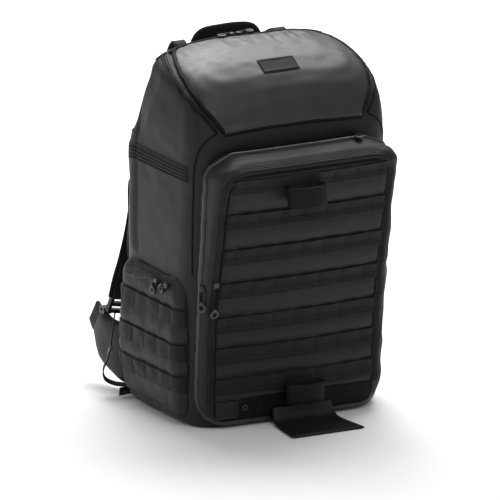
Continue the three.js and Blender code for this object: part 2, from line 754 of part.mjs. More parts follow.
function buildStraps(backPadClear) {
  const strap = strapStations();
  const strapClear = toSolid(band(strap, 16, true, seatGap));
  const solid = toSolid(band(strap, 16, true)).subtract(bodyClear).subtract(backPadClear);
  addPair("shoulder_strap", solid, materials.mesh);

  // The buckle carries on from the strap's end, and the webbing from the buckle.
  const end = strap[strap.length - 1].at;
  const lowerPlaces = lowerRows.map(({ x, y, z }) => behind(x, y, z, strapReach));
  const run = lowerPlaces[0].clone().sub(end).normalize();
  const across = new THREE.Vector3(1, 0, 0);
  const buckleStart = end.clone().addScaledVector(run, seatGap);
  const buckleEnd = lowerPlaces[0].clone().addScaledVector(run, -seatGap);
  const buckleBand = (from, to, width, thick) => {
    const station = (share) => ({ at: buckleStart.clone().lerp(buckleEnd, share), across, width, thick });
    return toSolid(band([station(from), station(to)], 1));
  };
  const buckleWidth = 1.6 * strapWebbingWidth;
  const buckle = buckleBand(0, 1, buckleWidth, 0.6 * strapThick)
    .subtract(buckleBand(0.18, 0.38, 1.1 * strapWebbingWidth, 2 * strapThick))
    .subtract(buckleBand(0.6, 0.8, 1.1 * strapWebbingWidth, 2 * strapThick));
  addPair("strap_buckle", buckle.subtract(strapClear), materials.plastic);

  const edgeOn = new THREE.Vector3(0.46, 0.85, 0).normalize();
  const buckleClear = buckleBand(-0.03, 1.03, buckleWidth + 2 * seatGap, strapThick);
  const lower = toSolid(webbing(lowerPlaces, strapWebbingWidth, edgeOn, 20)).subtract(bodyClear);
  addPair("strap_webbing", lower.subtract(backPadClear).subtract(buckleClear), materials.webbing);

  // The triglide is a frame that the webbing passes through.
  const glideMiddle = lowerPlaces[3];
  const glideRun = lowerPlaces[4].clone().sub(lowerPlaces[2]).normalize();
  const glide = (length, width, thick) =>
    toSolid(
      band(
        [-1, 1].map((end) => ({
          at: glideMiddle.clone().addScaledVector(glideRun, (end * length) / 2),
          across: edgeOn,
          width,
          thick,
        })),
        1,
      ),
    );
  const frame = glide(10, strapWebbingWidth + 7, 5);
  const lowerClear = toSolid(webbing(lowerPlaces, strapWebbingWidth, edgeOn, 20, seatGap));
  addPair("strap_triglide", frame.subtract(lowerClear), materials.metal);

  const lifterPlaces = [
    behind(-0.51, -1.25, 0.965, strapReach),
    behind(-0.51, -1.05, 0.98, strapReach),
    behind(-0.505, -0.8, 0.984, strapReach),
    behind(-0.48, -0.4, 0.969, strapReach),
    behind(-0.44, 0.1, 0.944, strapReach),
    behind(-0.41, 0.62, 0.904, strapReach),
    behind(-0.4, 0.9, 0.87, strapReach),
  ];
  const lifter = toSolid(webbing(lifterPlaces, strapWebbingWidth, across, 14));
  addPair("load_lifter", lifter.subtract(bodyClear).subtract(strapClear), materials.webbing);
}

// The left wing of the hip belt: tall is a share of beltHeight and thick of beltThick.
const beltRows = [
  { x: -0.56, y: 0.1, z: 0.128, tall: 1, thick: 0.9 },
  { x: -0.74, y: 0.18, z: 0.12, tall: 0.94, thick: 1 },
  { x: -0.83, y: 0.33, z: 0.105, tall: 0.8, thick: 1 },
  { x: -0.865, y: 0.54, z: 0.11, tall: 0.7, thick: 1 },
  { x: -0.88, y: 0.77, z: 0.128, tall: 0.66, thick: 0.95 },
  { x: -0.87, y: 1, z: 0.163, tall: 0.44, thick: 0.8 },
];

function buildBelt(backPadClear) {
  const up = new THREE.Vector3(0, 0, 1);
  const stations = beltRows.map(({ x, y, z, tall, thick }) => ({
    at: behind(x, y, z, beltReach),
    across: up,
    width: tall * beltHeight,
    thick: thick * beltThick,
  }));
  const wing = toSolid(band(stations, 14, true)).subtract(bodyClear).subtract(backPadClear);
  addPair("hip_belt", wing, materials.coated);

  const tip = stations[stations.length - 1];
  const near = stations[stations.length - 2];
  const run = tip.at.clone().sub(near.at).normalize();
  const tabStart = tip.at.clone().addScaledVector(run, seamGap);
  const tabEnd = tabStart.clone().addScaledVector(run, beltTabLength);
  const tab = band(
    [tabStart, tabEnd].map((at) => ({ at, across: up, width: 0.88 * tip.width, thick: 0.8 * tip.thick })),
    1,
  );
  const wingClear = toSolid(band(stations, 14, true, seatGap));
  addPair("belt_tab", toSolid(tab).subtract(wingClear), materials.webbing);

  const buckleSize = new THREE.Vector3(beltThick, 1.2 * beltThick, 0.8 * beltThick);
  const buckle = new THREE.BoxGeometry(...buckleSize);
  const buckleLift = near.width / 2 + buckleSize.z / 2 - 0.15 * beltThick;
  buckle.translate(near.at.x, near.at.y, near.at.z + buckleLift);
  const slot = new THREE.BoxGeometry(2 * buckleSize.x, 0.5 * buckleSize.y, 0.35 * buckleSize.z);
  slot.translate(near.at.x, near.at.y, near.at.z + buckleLift + 0.15 * buckleSize.z);
  addPair("belt_buckle", toSolid(buckle).subtract(toSolid(slot)).subtract(wingClear), materials.metal);
}

// The grab handle: x is a share of half its span, y of the back reach and z of its rise above the bag's
// back edge.
const handleRows = [
  { x: -1, y: 0.8, z: -0.3 },
  { x: -1, y: 0.78, z: 0.25 },
  { x: -0.95, y: 0.765, z: 0.68 },
  { x: -0.76, y: 0.755, z: 0.93 },
  { x: -0.3, y: 0.75, z: 0.99 },
  { x: 0.3, y: 0.75, z: 1 },
  { x: 0.76, y: 0.755, z: 0.9 },
  { x: 0.95, y: 0.765, z: 0.62 },
  { x: 1, y: 0.78, z: 0.2 },
  { x: 1, y: 0.8, z: -0.3 },
];

function buildHandle() {
  const facing = new THREE.Vector3(0, -1, 0);
  const foot = topHeight(0.78 * backReach);
  const stations = handleRows.map(({ x, y, z }) => ({
    at: new THREE.Vector3((x * handleSpan) / 2, y * backReach, foot + z * handleRise),
    facing,
    width: webbingWidth,
    thick: webbingThick,
  }));
  addPiece("grab_handle", toSolid(band(stations, 26)).subtract(bodyClear), materials.webbing);
}

// A strap with a flat back against the face and a round front, open from above.
function strapLoop() {
  const rounded = (inset) => {
    const shape = new THREE.Path();
    shape.absellipse(0, -inset, loopWidth / 2 - inset, loopDepth - 2 * inset, Math.PI, 2 * Math.PI, false);
    return shape;
  };
  const shape = new THREE.Shape(rounded(0).getPoints(8));
  shape.holes.push(new THREE.Path(rounded(webbingThick).getPoints(8)));
  return extrude(shape, loopHeight).translate(0, 0, -loopHeight / 2);
}

// The foot sleeve hangs from the hem of the face and lies forward on the floor: out is a share of
// its length in front of the face, up of sleeveHang, wide of sleeveWidth and open of
// sleeveMouth.
const sleeveRows = [
  { out: 0, up: 0.9, wide: 0.96, open: 1 },
  { out: 0.03, up: 0.6, wide: 0.98, open: 0.85 },
  { out: 0.08, up: 0.28, wide: 1, open: 0.62 },
  { out: 0.2, up: 0.06, wide: 1.04, open: 0.4 },
  { out: 0.45, up: 0, wide: 1.1, open: 0.36 },
  { out: 0.75, up: 0, wide: 1.16, open: 0.36 },
  { out: 1, up: 0, wide: 1.2, open: 0.36 },
];

function buildFront() {
  const upperShare = 0.863;
  const upper = addPiece("upper_loop", strapLoop(), materials.webbing);
  const lean = Math.atan2(faceAt(0.798) - faceAt(0.908), 0.11 * compartmentHeight);
  const standOff = 2 * seatGap + webbingThick + 0.6;
  upper.rotation.x = lean;
  upper.position.set(-0.08 * halfWidth, faceAt(upperShare) - standOff, compartmentHeightAt(upperShare));

  const lower = addPiece("lower_loop", strapLoop(), materials.webbing);
  lower.position.set(0.06 * halfWidth, faceAt(0.14) - 2 * seatGap - webbingThick, compartmentHeightAt(0.096));

  const sleeveX = 0.06 * halfWidth;
  const flat = 0.18 * sleeveMouth;
  const stations = sleeveRows.map(({ out, up, wide, open }) => ({
    at: new THREE.Vector3(
      sleeveX,
      faceAt(0.04) - seatGap - webbingThick - sleeveMouth / 2 - out * sleeveLength,
      flat + up * (sleeveHang - flat),
    ),
    across: new THREE.Vector3(1, 0, 0),
    width: wide * sleeveWidth,
    thick: open * sleeveMouth,
  }));
  const hollow = stations.slice(0, -1).map((station) => ({
    ...station,
    width: station.width - 4 * sleeveWall,
    thick: station.thick - 2 * sleeveWall,
  }));
  hollow[0].at = hollow[0].at.clone().setZ(sleeveHang);
  const aboveFloor = boxBetween(
    new THREE.Vector3(-bodyWidth, -4 * frontReach, 0),
    new THREE.Vector3(bodyWidth, 0, bodyHeight),
  );
  const sleeve = toSolid(band(stations, 11, true))
    .subtract(toSolid(band(hollow, 9, true)))
    .subtract(bodyClear)
    .subtract(rowsClear)
    .intersect(aboveFloor);
  addPiece("foot_sleeve", sleeve, materials.coated);
}

function buildBack() {
  const padRegion = boxBetween(
    new THREE.Vector3(-0.89 * halfWidth, 0.5 * backReach, 0.07 * bodyHeight),
    new THREE.Vector3(0.89 * halfWidth, 2 * backReach, 0.75 * bodyHeight),
  );
  addPiece("back_pad", layerOn(body, backPadThick, padRegion), materials.mesh);
  const backPadClear = layerOn(body, backPadThick + seatGap, padRegion, 0);
  buildStraps(backPadClear);
  buildBelt(backPadClear);
  buildHandle();

  const tabPlaces = [
    new THREE.Vector3(-0.86 * halfWidth, 0.86 * backReach, 0.022 * bodyHeight),
    new THREE.Vector3(-0.95 * halfWidth, 0.93 * backReach, 0.019 * bodyHeight),
    new THREE.Vector3(-1.01 * halfWidth, 0.99 * backReach, 0.016 * bodyHeight),
  ];
  const tab = toSolid(webbing(tabPlaces, 0.7 * webbingWidth, new THREE.Vector3(0.6, -0.8, 0), 4));
  const pocketClear = toSolid(loft(swell(pocketRings(leftPocketLength, leftPocketBulge), seatGap)));
  addPair("base_tab", tab.subtract(bodyClear).subtract(pocketClear), materials.webbing);
}

buildBody();
buildCompartment();
buildSides();
buildPulls();
buildBack();
buildFront();

export default backpack;
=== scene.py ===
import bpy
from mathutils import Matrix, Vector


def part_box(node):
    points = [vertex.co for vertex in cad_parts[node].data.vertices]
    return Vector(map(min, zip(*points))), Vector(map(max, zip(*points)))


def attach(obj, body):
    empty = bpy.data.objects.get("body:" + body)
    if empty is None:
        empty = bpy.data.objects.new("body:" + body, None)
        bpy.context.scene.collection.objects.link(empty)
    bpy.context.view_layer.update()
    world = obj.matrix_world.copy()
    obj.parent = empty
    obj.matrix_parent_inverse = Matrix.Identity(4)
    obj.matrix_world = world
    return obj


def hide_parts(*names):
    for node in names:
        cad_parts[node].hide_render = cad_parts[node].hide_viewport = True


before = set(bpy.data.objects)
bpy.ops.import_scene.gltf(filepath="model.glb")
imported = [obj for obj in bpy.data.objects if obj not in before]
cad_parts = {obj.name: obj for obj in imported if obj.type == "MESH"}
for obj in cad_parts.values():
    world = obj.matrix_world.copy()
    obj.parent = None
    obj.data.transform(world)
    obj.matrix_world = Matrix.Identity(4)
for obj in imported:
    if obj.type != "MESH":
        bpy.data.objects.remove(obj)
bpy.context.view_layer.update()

import math
import bmesh
import bpy
import numpy as np
from mathutils import Vector, noise
from mathutils.bvhtree import BVHTree

mm = 0.001
webbingWidth = 25.4
sunkEnd = -1.2  # where ribbons end, under the surface that they lie on
print("frame loaded:", len(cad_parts), "nodes")


# Mesh tools: a skin is a grid of points in metres, row by row

def surfaceTree(*names):
    verts, faces = [], []
    for name in names:
        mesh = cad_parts[name].data
        start = len(verts)
        verts += [v.co.copy() for v in mesh.vertices]
        faces += [[start + i for i in p.vertices] for p in mesh.polygons]
    return BVHTree.FromPolygons(verts, faces)


def gridFaces(grid, wrap=False):
    rows, cols = grid.shape[:2]
    index = np.arange(rows * cols).reshape(rows, cols)
    if wrap:
        index = np.concatenate([index, index[:, :1]], 1)
    corners = [index[:-1, :-1], index[:-1, 1:], index[1:, 1:], index[1:, :-1]]
    return np.stack(corners, -1).reshape(-1, 4)


def gridTree(grid, wrap=False):
    return BVHTree.FromPolygons(grid.reshape(-1, 3).tolist(), gridFaces(grid, wrap).tolist())


def millimetres(grid):
    return (grid[..., k] / mm for k in range(3))


def arcLengths(points):
    steps = np.linalg.norm(np.diff(points, axis=0), axis=1)
    return np.concatenate([[0], np.cumsum(steps)])


# Places at even steps along a smooth line through the points. Further columns go along with the place.
def smoothLine(points, step, closed=False):
    p = np.array(points, float)
    if closed:
        p = np.concatenate([p[-1:], p, p[:2]])
    else:
        p = np.concatenate([2 * p[:1] - p[1:2], p, 2 * p[-1:] - p[-2:-1]])
    fine = []
    for a, b, c, d in zip(p[:-3], p[1:-2], p[2:-1], p[3:]):
        t = np.linspace(0, 1, 24, endpoint=False)[:, None]
        curve = 2 * b + (c - a) * t + (2 * a - 5 * b + 4 * c - d) * t ** 2
        fine.append(0.5 * (curve + (3 * b - a - 3 * c + d) * t ** 3))
    fine = np.concatenate(fine + [p[-2:-1]])
    along = arcLengths(fine[:, :3])
    count = max(3, int(round(along[-1] / step)) + 1)
    wanted = np.linspace(0, along[-1], count)
    line = np.stack([np.interp(wanted, along, fine[:, k]) for k in range(fine.shape[1])], 1)
    return line[:-1] if closed else line


def gridNormals(grid, wrap=False):
    if wrap:
        along = np.roll(grid, -1, 1) - np.roll(grid, 1, 1)
    else:
        along = np.gradient(grid, axis=1)
    normals = np.cross(along, np.gradient(grid, axis=0))
    size = np.linalg.norm(normals, axis=2, keepdims=True)
    return normals / np.maximum(size, 1e-12)


# Moves each point the way it faces, by its own rise in mm.
def raised(grid, rise, wrap=False):
    return grid + gridNormals(grid, wrap) * (rise * mm)[..., None]


# Takes the facets out of a grid without shrinking it.
def relax(grid, times, wrap=False):
    for _ in range(times):
        for pull in (0.5, -0.52):
            if wrap:
                sides = np.roll(grid, 1, 1) + np.roll(grid, -1, 1)
            else:
                sides = 2 * grid
                sides[:, 1:-1] = grid[:, 2:] + grid[:, :-2]
            ends = 2 * grid
            ends[1:-1] = grid[2:] + grid[:-2]
            moved = grid + pull * ((sides + ends) / 4 - grid)
            moved[0], moved[-1] = grid[0], grid[-1]
            grid = moved
    return grid


# The sum of the four places beside each place of a grid.
def neighbours(values):
    p = np.pad(values, [(1, 1), (1, 1)] + [(0, 0)] * (values.ndim - 2), "edge")
    return p[2:, 1:-1] + p[:-2, 1:-1] + p[1:-1, 2:] + p[1:-1, :-2]


def blur(values, times):
    for _ in range(times):
        values = (neighbours(values) + 2 * values) / 6
    return values


def noiseField(grid, size, seed, stretch=(1, 1, 1)):
    flat = grid.reshape(-1, 3) * (np.array(stretch) / size) + seed * 7.3
    values = [noise.noise(Vector(p)) for p in flat]
    return np.array(values).reshape(grid.shape[:2])


def bump(x, middle, half):
    return np.exp(-(((x - middle) / half) ** 2))


def ramp(x, low, high):
    t = np.clip((x - low) / (high - low), 0, 1)
    return t * t * (3 - 2 * t)


casting = {"reach": 0.8, "turnRays": 721, "capRays": 60, "rise": 2, "sink": 7.0}


# The outer surface of some nodes, met by rays that aim at an upright axis inside them. Where a ray meets
# the backing first, the skin sinks under it, and the second result falls from 1 to 0.
def castSkin(nodes, axis, low, high, start=0, end=360, spacing=4.5, smoothing=18, backing=()):
    trees = [surfaceTree(*names) for names in (nodes, backing) if names]
    wrap = end - start >= 360

    # The place that a ray meets from outside, and 1 where the backing is in front
    def hit(angle, z, lift):
        a, e = math.radians(angle), math.radians(lift)
        out = Vector((math.cos(a) * math.cos(e), math.sin(a) * math.cos(e), math.sin(e)))
        middle = Vector((*axis, z)) * mm
        found = [(tree.ray_cast(middle + casting["reach"] * out, -out), k) for k, tree in enumerate(trees)]
        found = [(f[3], k, f[0]) for f, k in found if f[0] is not None]
        if not found:
            return middle, 1
        near = min(found, key=lambda f: f[0])
        return near[2], near[1]

    angles = np.linspace(start, end, casting["turnRays"])
    along = arcLengths(np.array([hit(a, (low + high) / 2, 0)[0] for a in angles]))
    count = int(along[-1] / (spacing * mm))
    columns = np.interp(np.linspace(0, along[-1], count + 1), along, angles)
    columns = columns[:-1] if wrap else columns
    rows = [(low, e) for e in np.linspace(-90, 0, casting["capRays"])]
    rows += [(z, 0) for z in np.arange(low + casting["rise"], high, casting["rise"])]
    rows += [(high, e) for e in np.linspace(0, 90, casting["capRays"])]
    sampled = columns[:: max(1, len(columns) // 10)]
    along = np.mean([arcLengths(np.array([hit(a, *row)[0] for row in rows])) for a in sampled], axis=0)
    count = int(along[-1] / (spacing * mm))
    places = np.interp(np.linspace(0, along[-1], count + 1), along, np.arange(len(rows)))
    heights, lifts = (np.interp(places, np.arange(len(rows)), [row[k] for row in rows]) for k in (0, 1))
    met = [[hit(a, z, e) for a in columns] for z, e in zip(heights, lifts)]
    grid = relax(np.array([[m[0] for m in row] for row in met]), smoothing, wrap)
    if not backing:
        return grid
    sunk = blur(np.array([[float(m[1]) for m in row] for row in met]), 5)
    return raised(grid, -casting["sink"] * ramp(sunk, 0.3, 0.85), wrap), 1 - ramp(sunk, 0.2, 0.7)


def dropLoose(mesh):
    work = bmesh.new()
    work.from_mesh(mesh)
    bmesh.ops.delete(work, geom=[v for v in work.verts if not v.link_faces], context="VERTS")
    work.to_mesh(mesh)
    work.free()


# Faces whose corners all have keep at 0 are left out.
def addMesh(name, grid, material, nodes=(), wrap=False, uv=None, keep=None):
    mesh = bpy.data.meshes.new(name)
    faces = gridFaces(grid, wrap)
    if keep is not None:
        faces = faces[keep.reshape(-1)[faces].max(1) > 0.01]
    mesh.from_pydata(grid.reshape(-1, 3).tolist(), [], faces.tolist())
    if uv is None:
        across = np.linalg.norm(np.diff(grid, axis=1, append=grid[:, -1:]), axis=2)
        up = np.linalg.norm(np.diff(grid, axis=0, prepend=grid[:1]), axis=2)
        uv = np.stack([np.cumsum(across, 1), np.cumsum(up, 0)], -1)
    layer = mesh.uv_layers.new(name="UVMap")
    corner = np.empty(len(mesh.loops), int)
    mesh.loops.foreach_get("vertex_index", corner)
    layer.data.foreach_set("uv", uv.reshape(-1, 2)[corner].astype(np.float32).ravel())
    mesh.polygons.foreach_set("use_smooth", [True] * len(mesh.polygons))
    mesh.validate()
    piece = bpy.data.objects.new(name, mesh)
    if keep is not None:
        dropLoose(mesh)
    bpy.context.scene.collection.objects.link(piece)
    mesh.materials.append(material)
    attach(piece, "root")
    if nodes:
        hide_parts(*nodes)
    return piece


def unit(vectors):
    return vectors / np.linalg.norm(vectors, axis=1, keepdims=True)


def runOf(centre, closed):
    return (np.roll(centre, -1, 0) - np.roll(centre, 1, 0)) if closed else np.gradient(centre, axis=0)


# A ribbon that follows a surface. The profile is (across, height) in mm, and relief(along, across, height)
# may change its height on the way.
def addRibbon(name, tree, path, profile, material, nodes=(), step=2.5, closed=False,
              relief=None):
    line = smoothLine(np.array(path) * mm, step * mm, closed)
    found = [tree.find_nearest(Vector(p)) for p in line]
    centre = np.array([f[0] for f in found])
    normal = np.array([f[1] for f in found])
    for _ in range(4):
        if closed:
            normal = (np.roll(normal, 1, 0) + 2 * normal + np.roll(normal, -1, 0)) / 4
        else:
            normal[1:-1] = (normal[:-2] + 2 * normal[1:-1] + normal[2:]) / 4
    normal = unit(normal)
    across = unit(np.cross(normal, runOf(centre, closed)))
    along = arcLengths(centre)
    grid = np.zeros((len(profile), len(line), 3))
    uv = np.zeros((len(profile), len(line), 2))
    for j in range(len(line)):
        for i, (a, h) in enumerate(profile):
            near, facing = tree.find_nearest(Vector(centre[j] + across[j] * a * mm))[:2]
            rise = relief(along[j] / mm, a, h) if relief else h
            if not closed and j in (0, len(line) - 1):
                rise = min(rise, sunkEnd)
            blend = (Vector(normal[j]) + facing).normalized()
            grid[i, j] = near + blend * rise * mm
            uv[i, j] = along[j], a * mm
    return addMesh(name, grid, material, nodes, uv=uv)


flatRing = [(-0.97, -1), (-0.5, -1), (0, -1), (0.5, -1), (0.97, -1), (1, 0), (0.97, 1), (0.5, 1), (0, 1)]
flatRing += [(-0.5, 1), (-0.97, 1), (-1, 0)]
roundRing = [(math.cos(t), math.sin(t)) for t in np.linspace(0, 2 * math.pi, 12, endpoint=False)]


# A ring swept along places in mm. Stations are (x, y, z, across x, y, z, width, thick).
def sweepBand(stations, step=3, ring=flatRing, closed=False):
    table = np.array(stations, float)
    table[:, [0, 1, 2, 6, 7]] *= mm
    line = smoothLine(table, step * mm, closed)
    centre = line[:, :3]
    tangent = unit(runOf(centre, closed))
    across = unit(line[:, 3:6] - tangent * np.sum(tangent * line[:, 3:6], 1, keepdims=True))
    normal = np.cross(tangent, across)
    grid = np.zeros((len(line), len(ring), 3))
    uv = np.zeros((len(line), len(ring), 2))
    for i, (u, v) in enumerate(ring):
        grid[:, i] = centre + across * (u * line[:, 6:7] / 2) + normal * (v * line[:, 7:8] / 2)
        uv[:, i, 0] = arcLengths(centre)
        uv[:, i, 1] = u * line[:, 6] / 2
    if closed:
        grid, uv = np.concatenate([grid, grid[:1]]), np.concatenate([uv, uv[-1:]])
    else:
        first, last = (np.repeat(end.mean(1, keepdims=True), len(ring), 1) for end in (grid[:1], grid[-1:]))
        grid, uv = np.concatenate([first, grid, last]), np.concatenate([uv[:1], uv, uv[-1:]])
    return grid[:, ::-1], uv[:, ::-1]


def addBand(name, stations, material, nodes=(), slotName=None, **how):
    grid, uv = sweepBand(stations, **how)
    return addMesh(name, grid, material, nodes, wrap=True, uv=uv)


# A round cord along places in mm.
def addTube(name, places, radius, material, step=2.5, closed=False):
    anySide = (0.31, 0.72, 0.62)
    stations = [(*p, *anySide, 2 * radius, 2 * radius) for p in places]
    return addBand(name, stations, material, step=step, ring=roundRing, closed=closed)


def addRing(name, centre, normal, radius, thick, material, nodes=(), slotName=None, squash=0.7):
    up = Vector(normal).normalized()
    side = up.orthogonal().normalized()
    other = up.cross(side)
    stations = []
    for t in np.linspace(0, 2 * math.pi, 20, endpoint=False):
        p = Vector(centre) + side * radius * math.cos(t) + other * radius * math.sin(t)
        outward = (p - Vector(centre)).normalized()
        stations.append((*p, *outward, 2 * thick, 2 * thick * squash))
    return addBand(name, stations, material, nodes, slotName, step=1.2, ring=roundRing, closed=True)


def squareEdge(value):
    return math.copysign(abs(value) ** 0.35, value)


squareRing = [(squareEdge(math.cos(a)), squareEdge(math.sin(a)))
              for a in np.linspace(0, 2 * math.pi, 16, endpoint=False)]


# A block with round edges: its size is across, out and along, in mm.
def addBlock(name, centre, along, out, size, material):
    along, out = Vector(along).normalized(), Vector(out)
    out = (out - along * out.dot(along)).normalized()
    side = along.cross(out)
    stations = []
    for t, w in ((-1, 0.72), (-0.82, 1), (0.82, 1), (1, 0.72)):
        stations.append((*(Vector(centre) + along * size[2] / 2 * t), *side, w * size[0], w * size[1]))
    return addBand(name, stations, material, step=max(1.0, 0.3 * min(size)), ring=squareRing)


def joinPieces(name, pieces):
    first = pieces[0]
    with bpy.context.temp_override(active_object=first, selected_editable_objects=pieces, object=first):
        bpy.ops.object.join()
    first.name = name
    return first


# Shader tools: a socket takes a value of its own or a link

def feed(tree, socket, value):
    if isinstance(value, (int, float, tuple)):
        socket.default_value = value
    else:
        tree.links.new(value, socket)


def mathNode(tree, operation, *values):
    node = tree.nodes.new("ShaderNodeMath")
    node.operation = operation
    for socket, value in zip(node.inputs, values):
        feed(tree, socket, value)
    return node.outputs[0]


def times(tree, a, b):
    return mathNode(tree, "MULTIPLY", a, b)


def plus(tree, a, b):
    return mathNode(tree, "ADD", a, b)


def wave(tree, value):
    return mathNode(tree, "SINE", value)


def mapped(tree, value, fromRange=(0.0, 1.0), toRange=(0.0, 1.0)):
    node = tree.nodes.new("ShaderNodeMapRange")
    labels = ("Value", "From Min", "From Max", "To Min", "To Max")
    for label, number in zip(labels, (value, *fromRange, *toRange)):
        feed(tree, node.inputs[label], number)
    return node.outputs[0]


def mixed(tree, share, first, second):
    node = tree.nodes.new("ShaderNodeMix")
    node.data_type = "RGBA"
    for place, value in ((0, share), (6, first), (7, second)):
        feed(tree, node.inputs[place], value)
    return node.outputs[2]


def noiseNode(tree, vector, scale, detail=2, rough=0.5):
    node = tree.nodes.new("ShaderNodeTexNoise")
    for label, value in (("Vector", vector), ("Scale", scale), ("Detail", detail), ("Roughness", rough)):
        feed(tree, node.inputs[label], value)
    return node.outputs["Fac"]


def objectPlace(tree):
    return tree.nodes.new("ShaderNodeTexCoord").outputs["Object"]


def axes(tree, vector):
    node = tree.nodes.new("ShaderNodeSeparateXYZ")
    tree.links.new(vector, node.inputs[0])
    return node.outputs


def newGroup(name, inputs, outputs):
    group = bpy.data.node_groups.new(name, "ShaderNodeTree")
    for label, value in inputs.items():
        socket = group.interface.new_socket(label, in_out="INPUT", socket_type="NodeSocketFloat")
        socket.default_value = value
    for label in outputs:
        group.interface.new_socket(label, in_out="OUTPUT", socket_type="NodeSocketFloat")
    return group, group.nodes.new("NodeGroupInput").outputs, group.nodes.new("NodeGroupOutput").inputs


# Threads crossing at right angles on any upright or level face.
def buildWeave():
    group, entry, result = newGroup("plainWeave", {"Threads": 900.0, "Unevenness": 0.3}, ["Height"])
    where = objectPlace(group)
    x, y, z = axes(group, where)
    threads = times(group, entry["Threads"], math.pi)
    warp = wave(group, times(group, plus(group, x, y), threads))
    weft = wave(group, times(group, z, threads))
    grain = noiseNode(group, where, times(group, entry["Threads"], 0.3), 3)
    uneven = times(group, grain, entry["Unevenness"])
    group.links.new(plus(group, times(group, warp, weft), uneven), result["Height"])
    return group


# Ribs along a ribbon's length, counted across it, with the threads between them.
def buildRibs():
    group, entry, result = newGroup("webbingRibs", {"Ribs": 420.0, "Threads": 700.0}, ["Height"])
    along, across, _ = axes(group, group.nodes.new("ShaderNodeUVMap").outputs[0])
    ribLines = wave(group, times(group, across, times(group, entry["Ribs"], 2 * math.pi)))
    threadLines = wave(group, times(group, along, times(group, entry["Threads"], 2 * math.pi)))
    height = plus(group, times(group, ribLines, 1.35), times(group, threadLines, 0.6))
    group.links.new(height, result["Height"])
    return group


# Uneven shade from handling: 0 where clean, 1 where dusty. Rub is 1 on worn edges.
def buildHandling():
    group, entry, result = newGroup("handling", {"Size": 9.0, "Spread": 0.5}, ["Shade", "Rub"])
    where = objectPlace(group)
    broad = noiseNode(group, where, entry["Size"], 4, 0.6)
    fine = noiseNode(group, where, times(group, entry["Size"], 22.0), 3, 0.65)
    both = plus(group, times(group, broad, 0.6), times(group, fine, 0.4))
    half = times(group, entry["Spread"], 0.3)
    shade = mapped(group, both, (mathNode(group, "SUBTRACT", 0.5, half), plus(group, 0.5, half)))
    group.links.new(shade, result["Shade"])
    pointed = group.nodes.new("ShaderNodeNewGeometry").outputs["Pointiness"]
    group.links.new(times(group, mapped(group, pointed, (0.51, 0.6)), fine), result["Rub"])
    return group


# Open knit: small holes in staggered rows.
def buildKnit():
    group, entry, result = newGroup("openKnit", {"Holes": 420.0}, ["Height", "Holes"])
    cells = group.nodes.new("ShaderNodeTexVoronoi")
    for label, value in (("Vector", objectPlace(group)), ("Scale", entry["Holes"]), ("Randomness", 0.25)):
        feed(group, cells.inputs[label], value)
    hole = mapped(group, cells.outputs["Distance"], (0.2, 0.42))
    group.links.new(hole, result["Height"])
    group.links.new(hole, result["Holes"])
    return group


weave, ribs, handling, knit = buildWeave(), buildRibs(), buildHandling(), buildKnit()


def placeGroup(tree, group, values):
    node = tree.nodes.new("ShaderNodeGroup")
    node.node_tree = group
    for label, value in values.items():
        node.inputs[label].default_value = value
    return node.outputs


# A material whose shade and roughness vary with handling. Rubbed is how much paler its worn edges are.
def startMaterial(name, dark, light, roughRange, worn, rubbed=None):
    material = bpy.data.materials.new(name)
    material.use_nodes = True
    tree = material.node_tree
    shader = tree.nodes["Principled BSDF"]
    marks = placeGroup(tree, handling, worn)
    colour = mixed(tree, marks["Shade"], (*dark, 1), (*light, 1))
    if rubbed:
        colour = mixed(tree, times(tree, marks["Rub"], 0.5), colour, (*[rubbed * c for c in light], 1))
    tree.links.new(colour, shader.inputs["Base Color"])
    tree.links.new(mapped(tree, marks["Shade"], toRange=roughRange), shader.inputs["Roughness"])
    return material, tree, shader


def addRelief(tree, shader, height, strength, depth):
    node = tree.nodes.new("ShaderNodeBump")
    for label, value in (("Strength", strength), ("Distance", depth * mm), ("Height", height)):
        feed(tree, node.inputs[label], value)
    tree.links.new(node.outputs[0], shader.inputs["Normal"])


# A fabric: its pattern is the group that roughens it, depth is in mm.
def makeCloth(name, dark, light, rough, pattern, values, depth, gloss, sheen=0.0, coat=0.0):
    worn = {"Size": 9.0, "Spread": 0.6}
    material, tree, shader = startMaterial(name, dark, light, (rough - 0.06, rough + 0.08), worn, 2.2)
    for label, value in (("Specular IOR Level", gloss), ("Sheen Weight", sheen), ("Sheen Roughness", 0.5),
                         ("Coat Weight", coat), ("Coat Roughness", 0.3)):
        shader.inputs[label].default_value = value
    addRelief(tree, shader, placeGroup(tree, pattern, values)["Height"], 0.6, depth)
    return material


def makeHard(name, colour, rough, metal=0.0):
    light = [1.5 * c for c in colour]
    worn = {"Size": 60.0, "Spread": 0.5}
    material, tree, shader = startMaterial(name, colour, light, (rough - 0.05, rough + 0.1), worn)
    shader.inputs["Metallic"].default_value = metal
    addRelief(tree, shader, noiseNode(tree, objectPlace(tree), 1800.0), 0.4, 0.02)
    return material


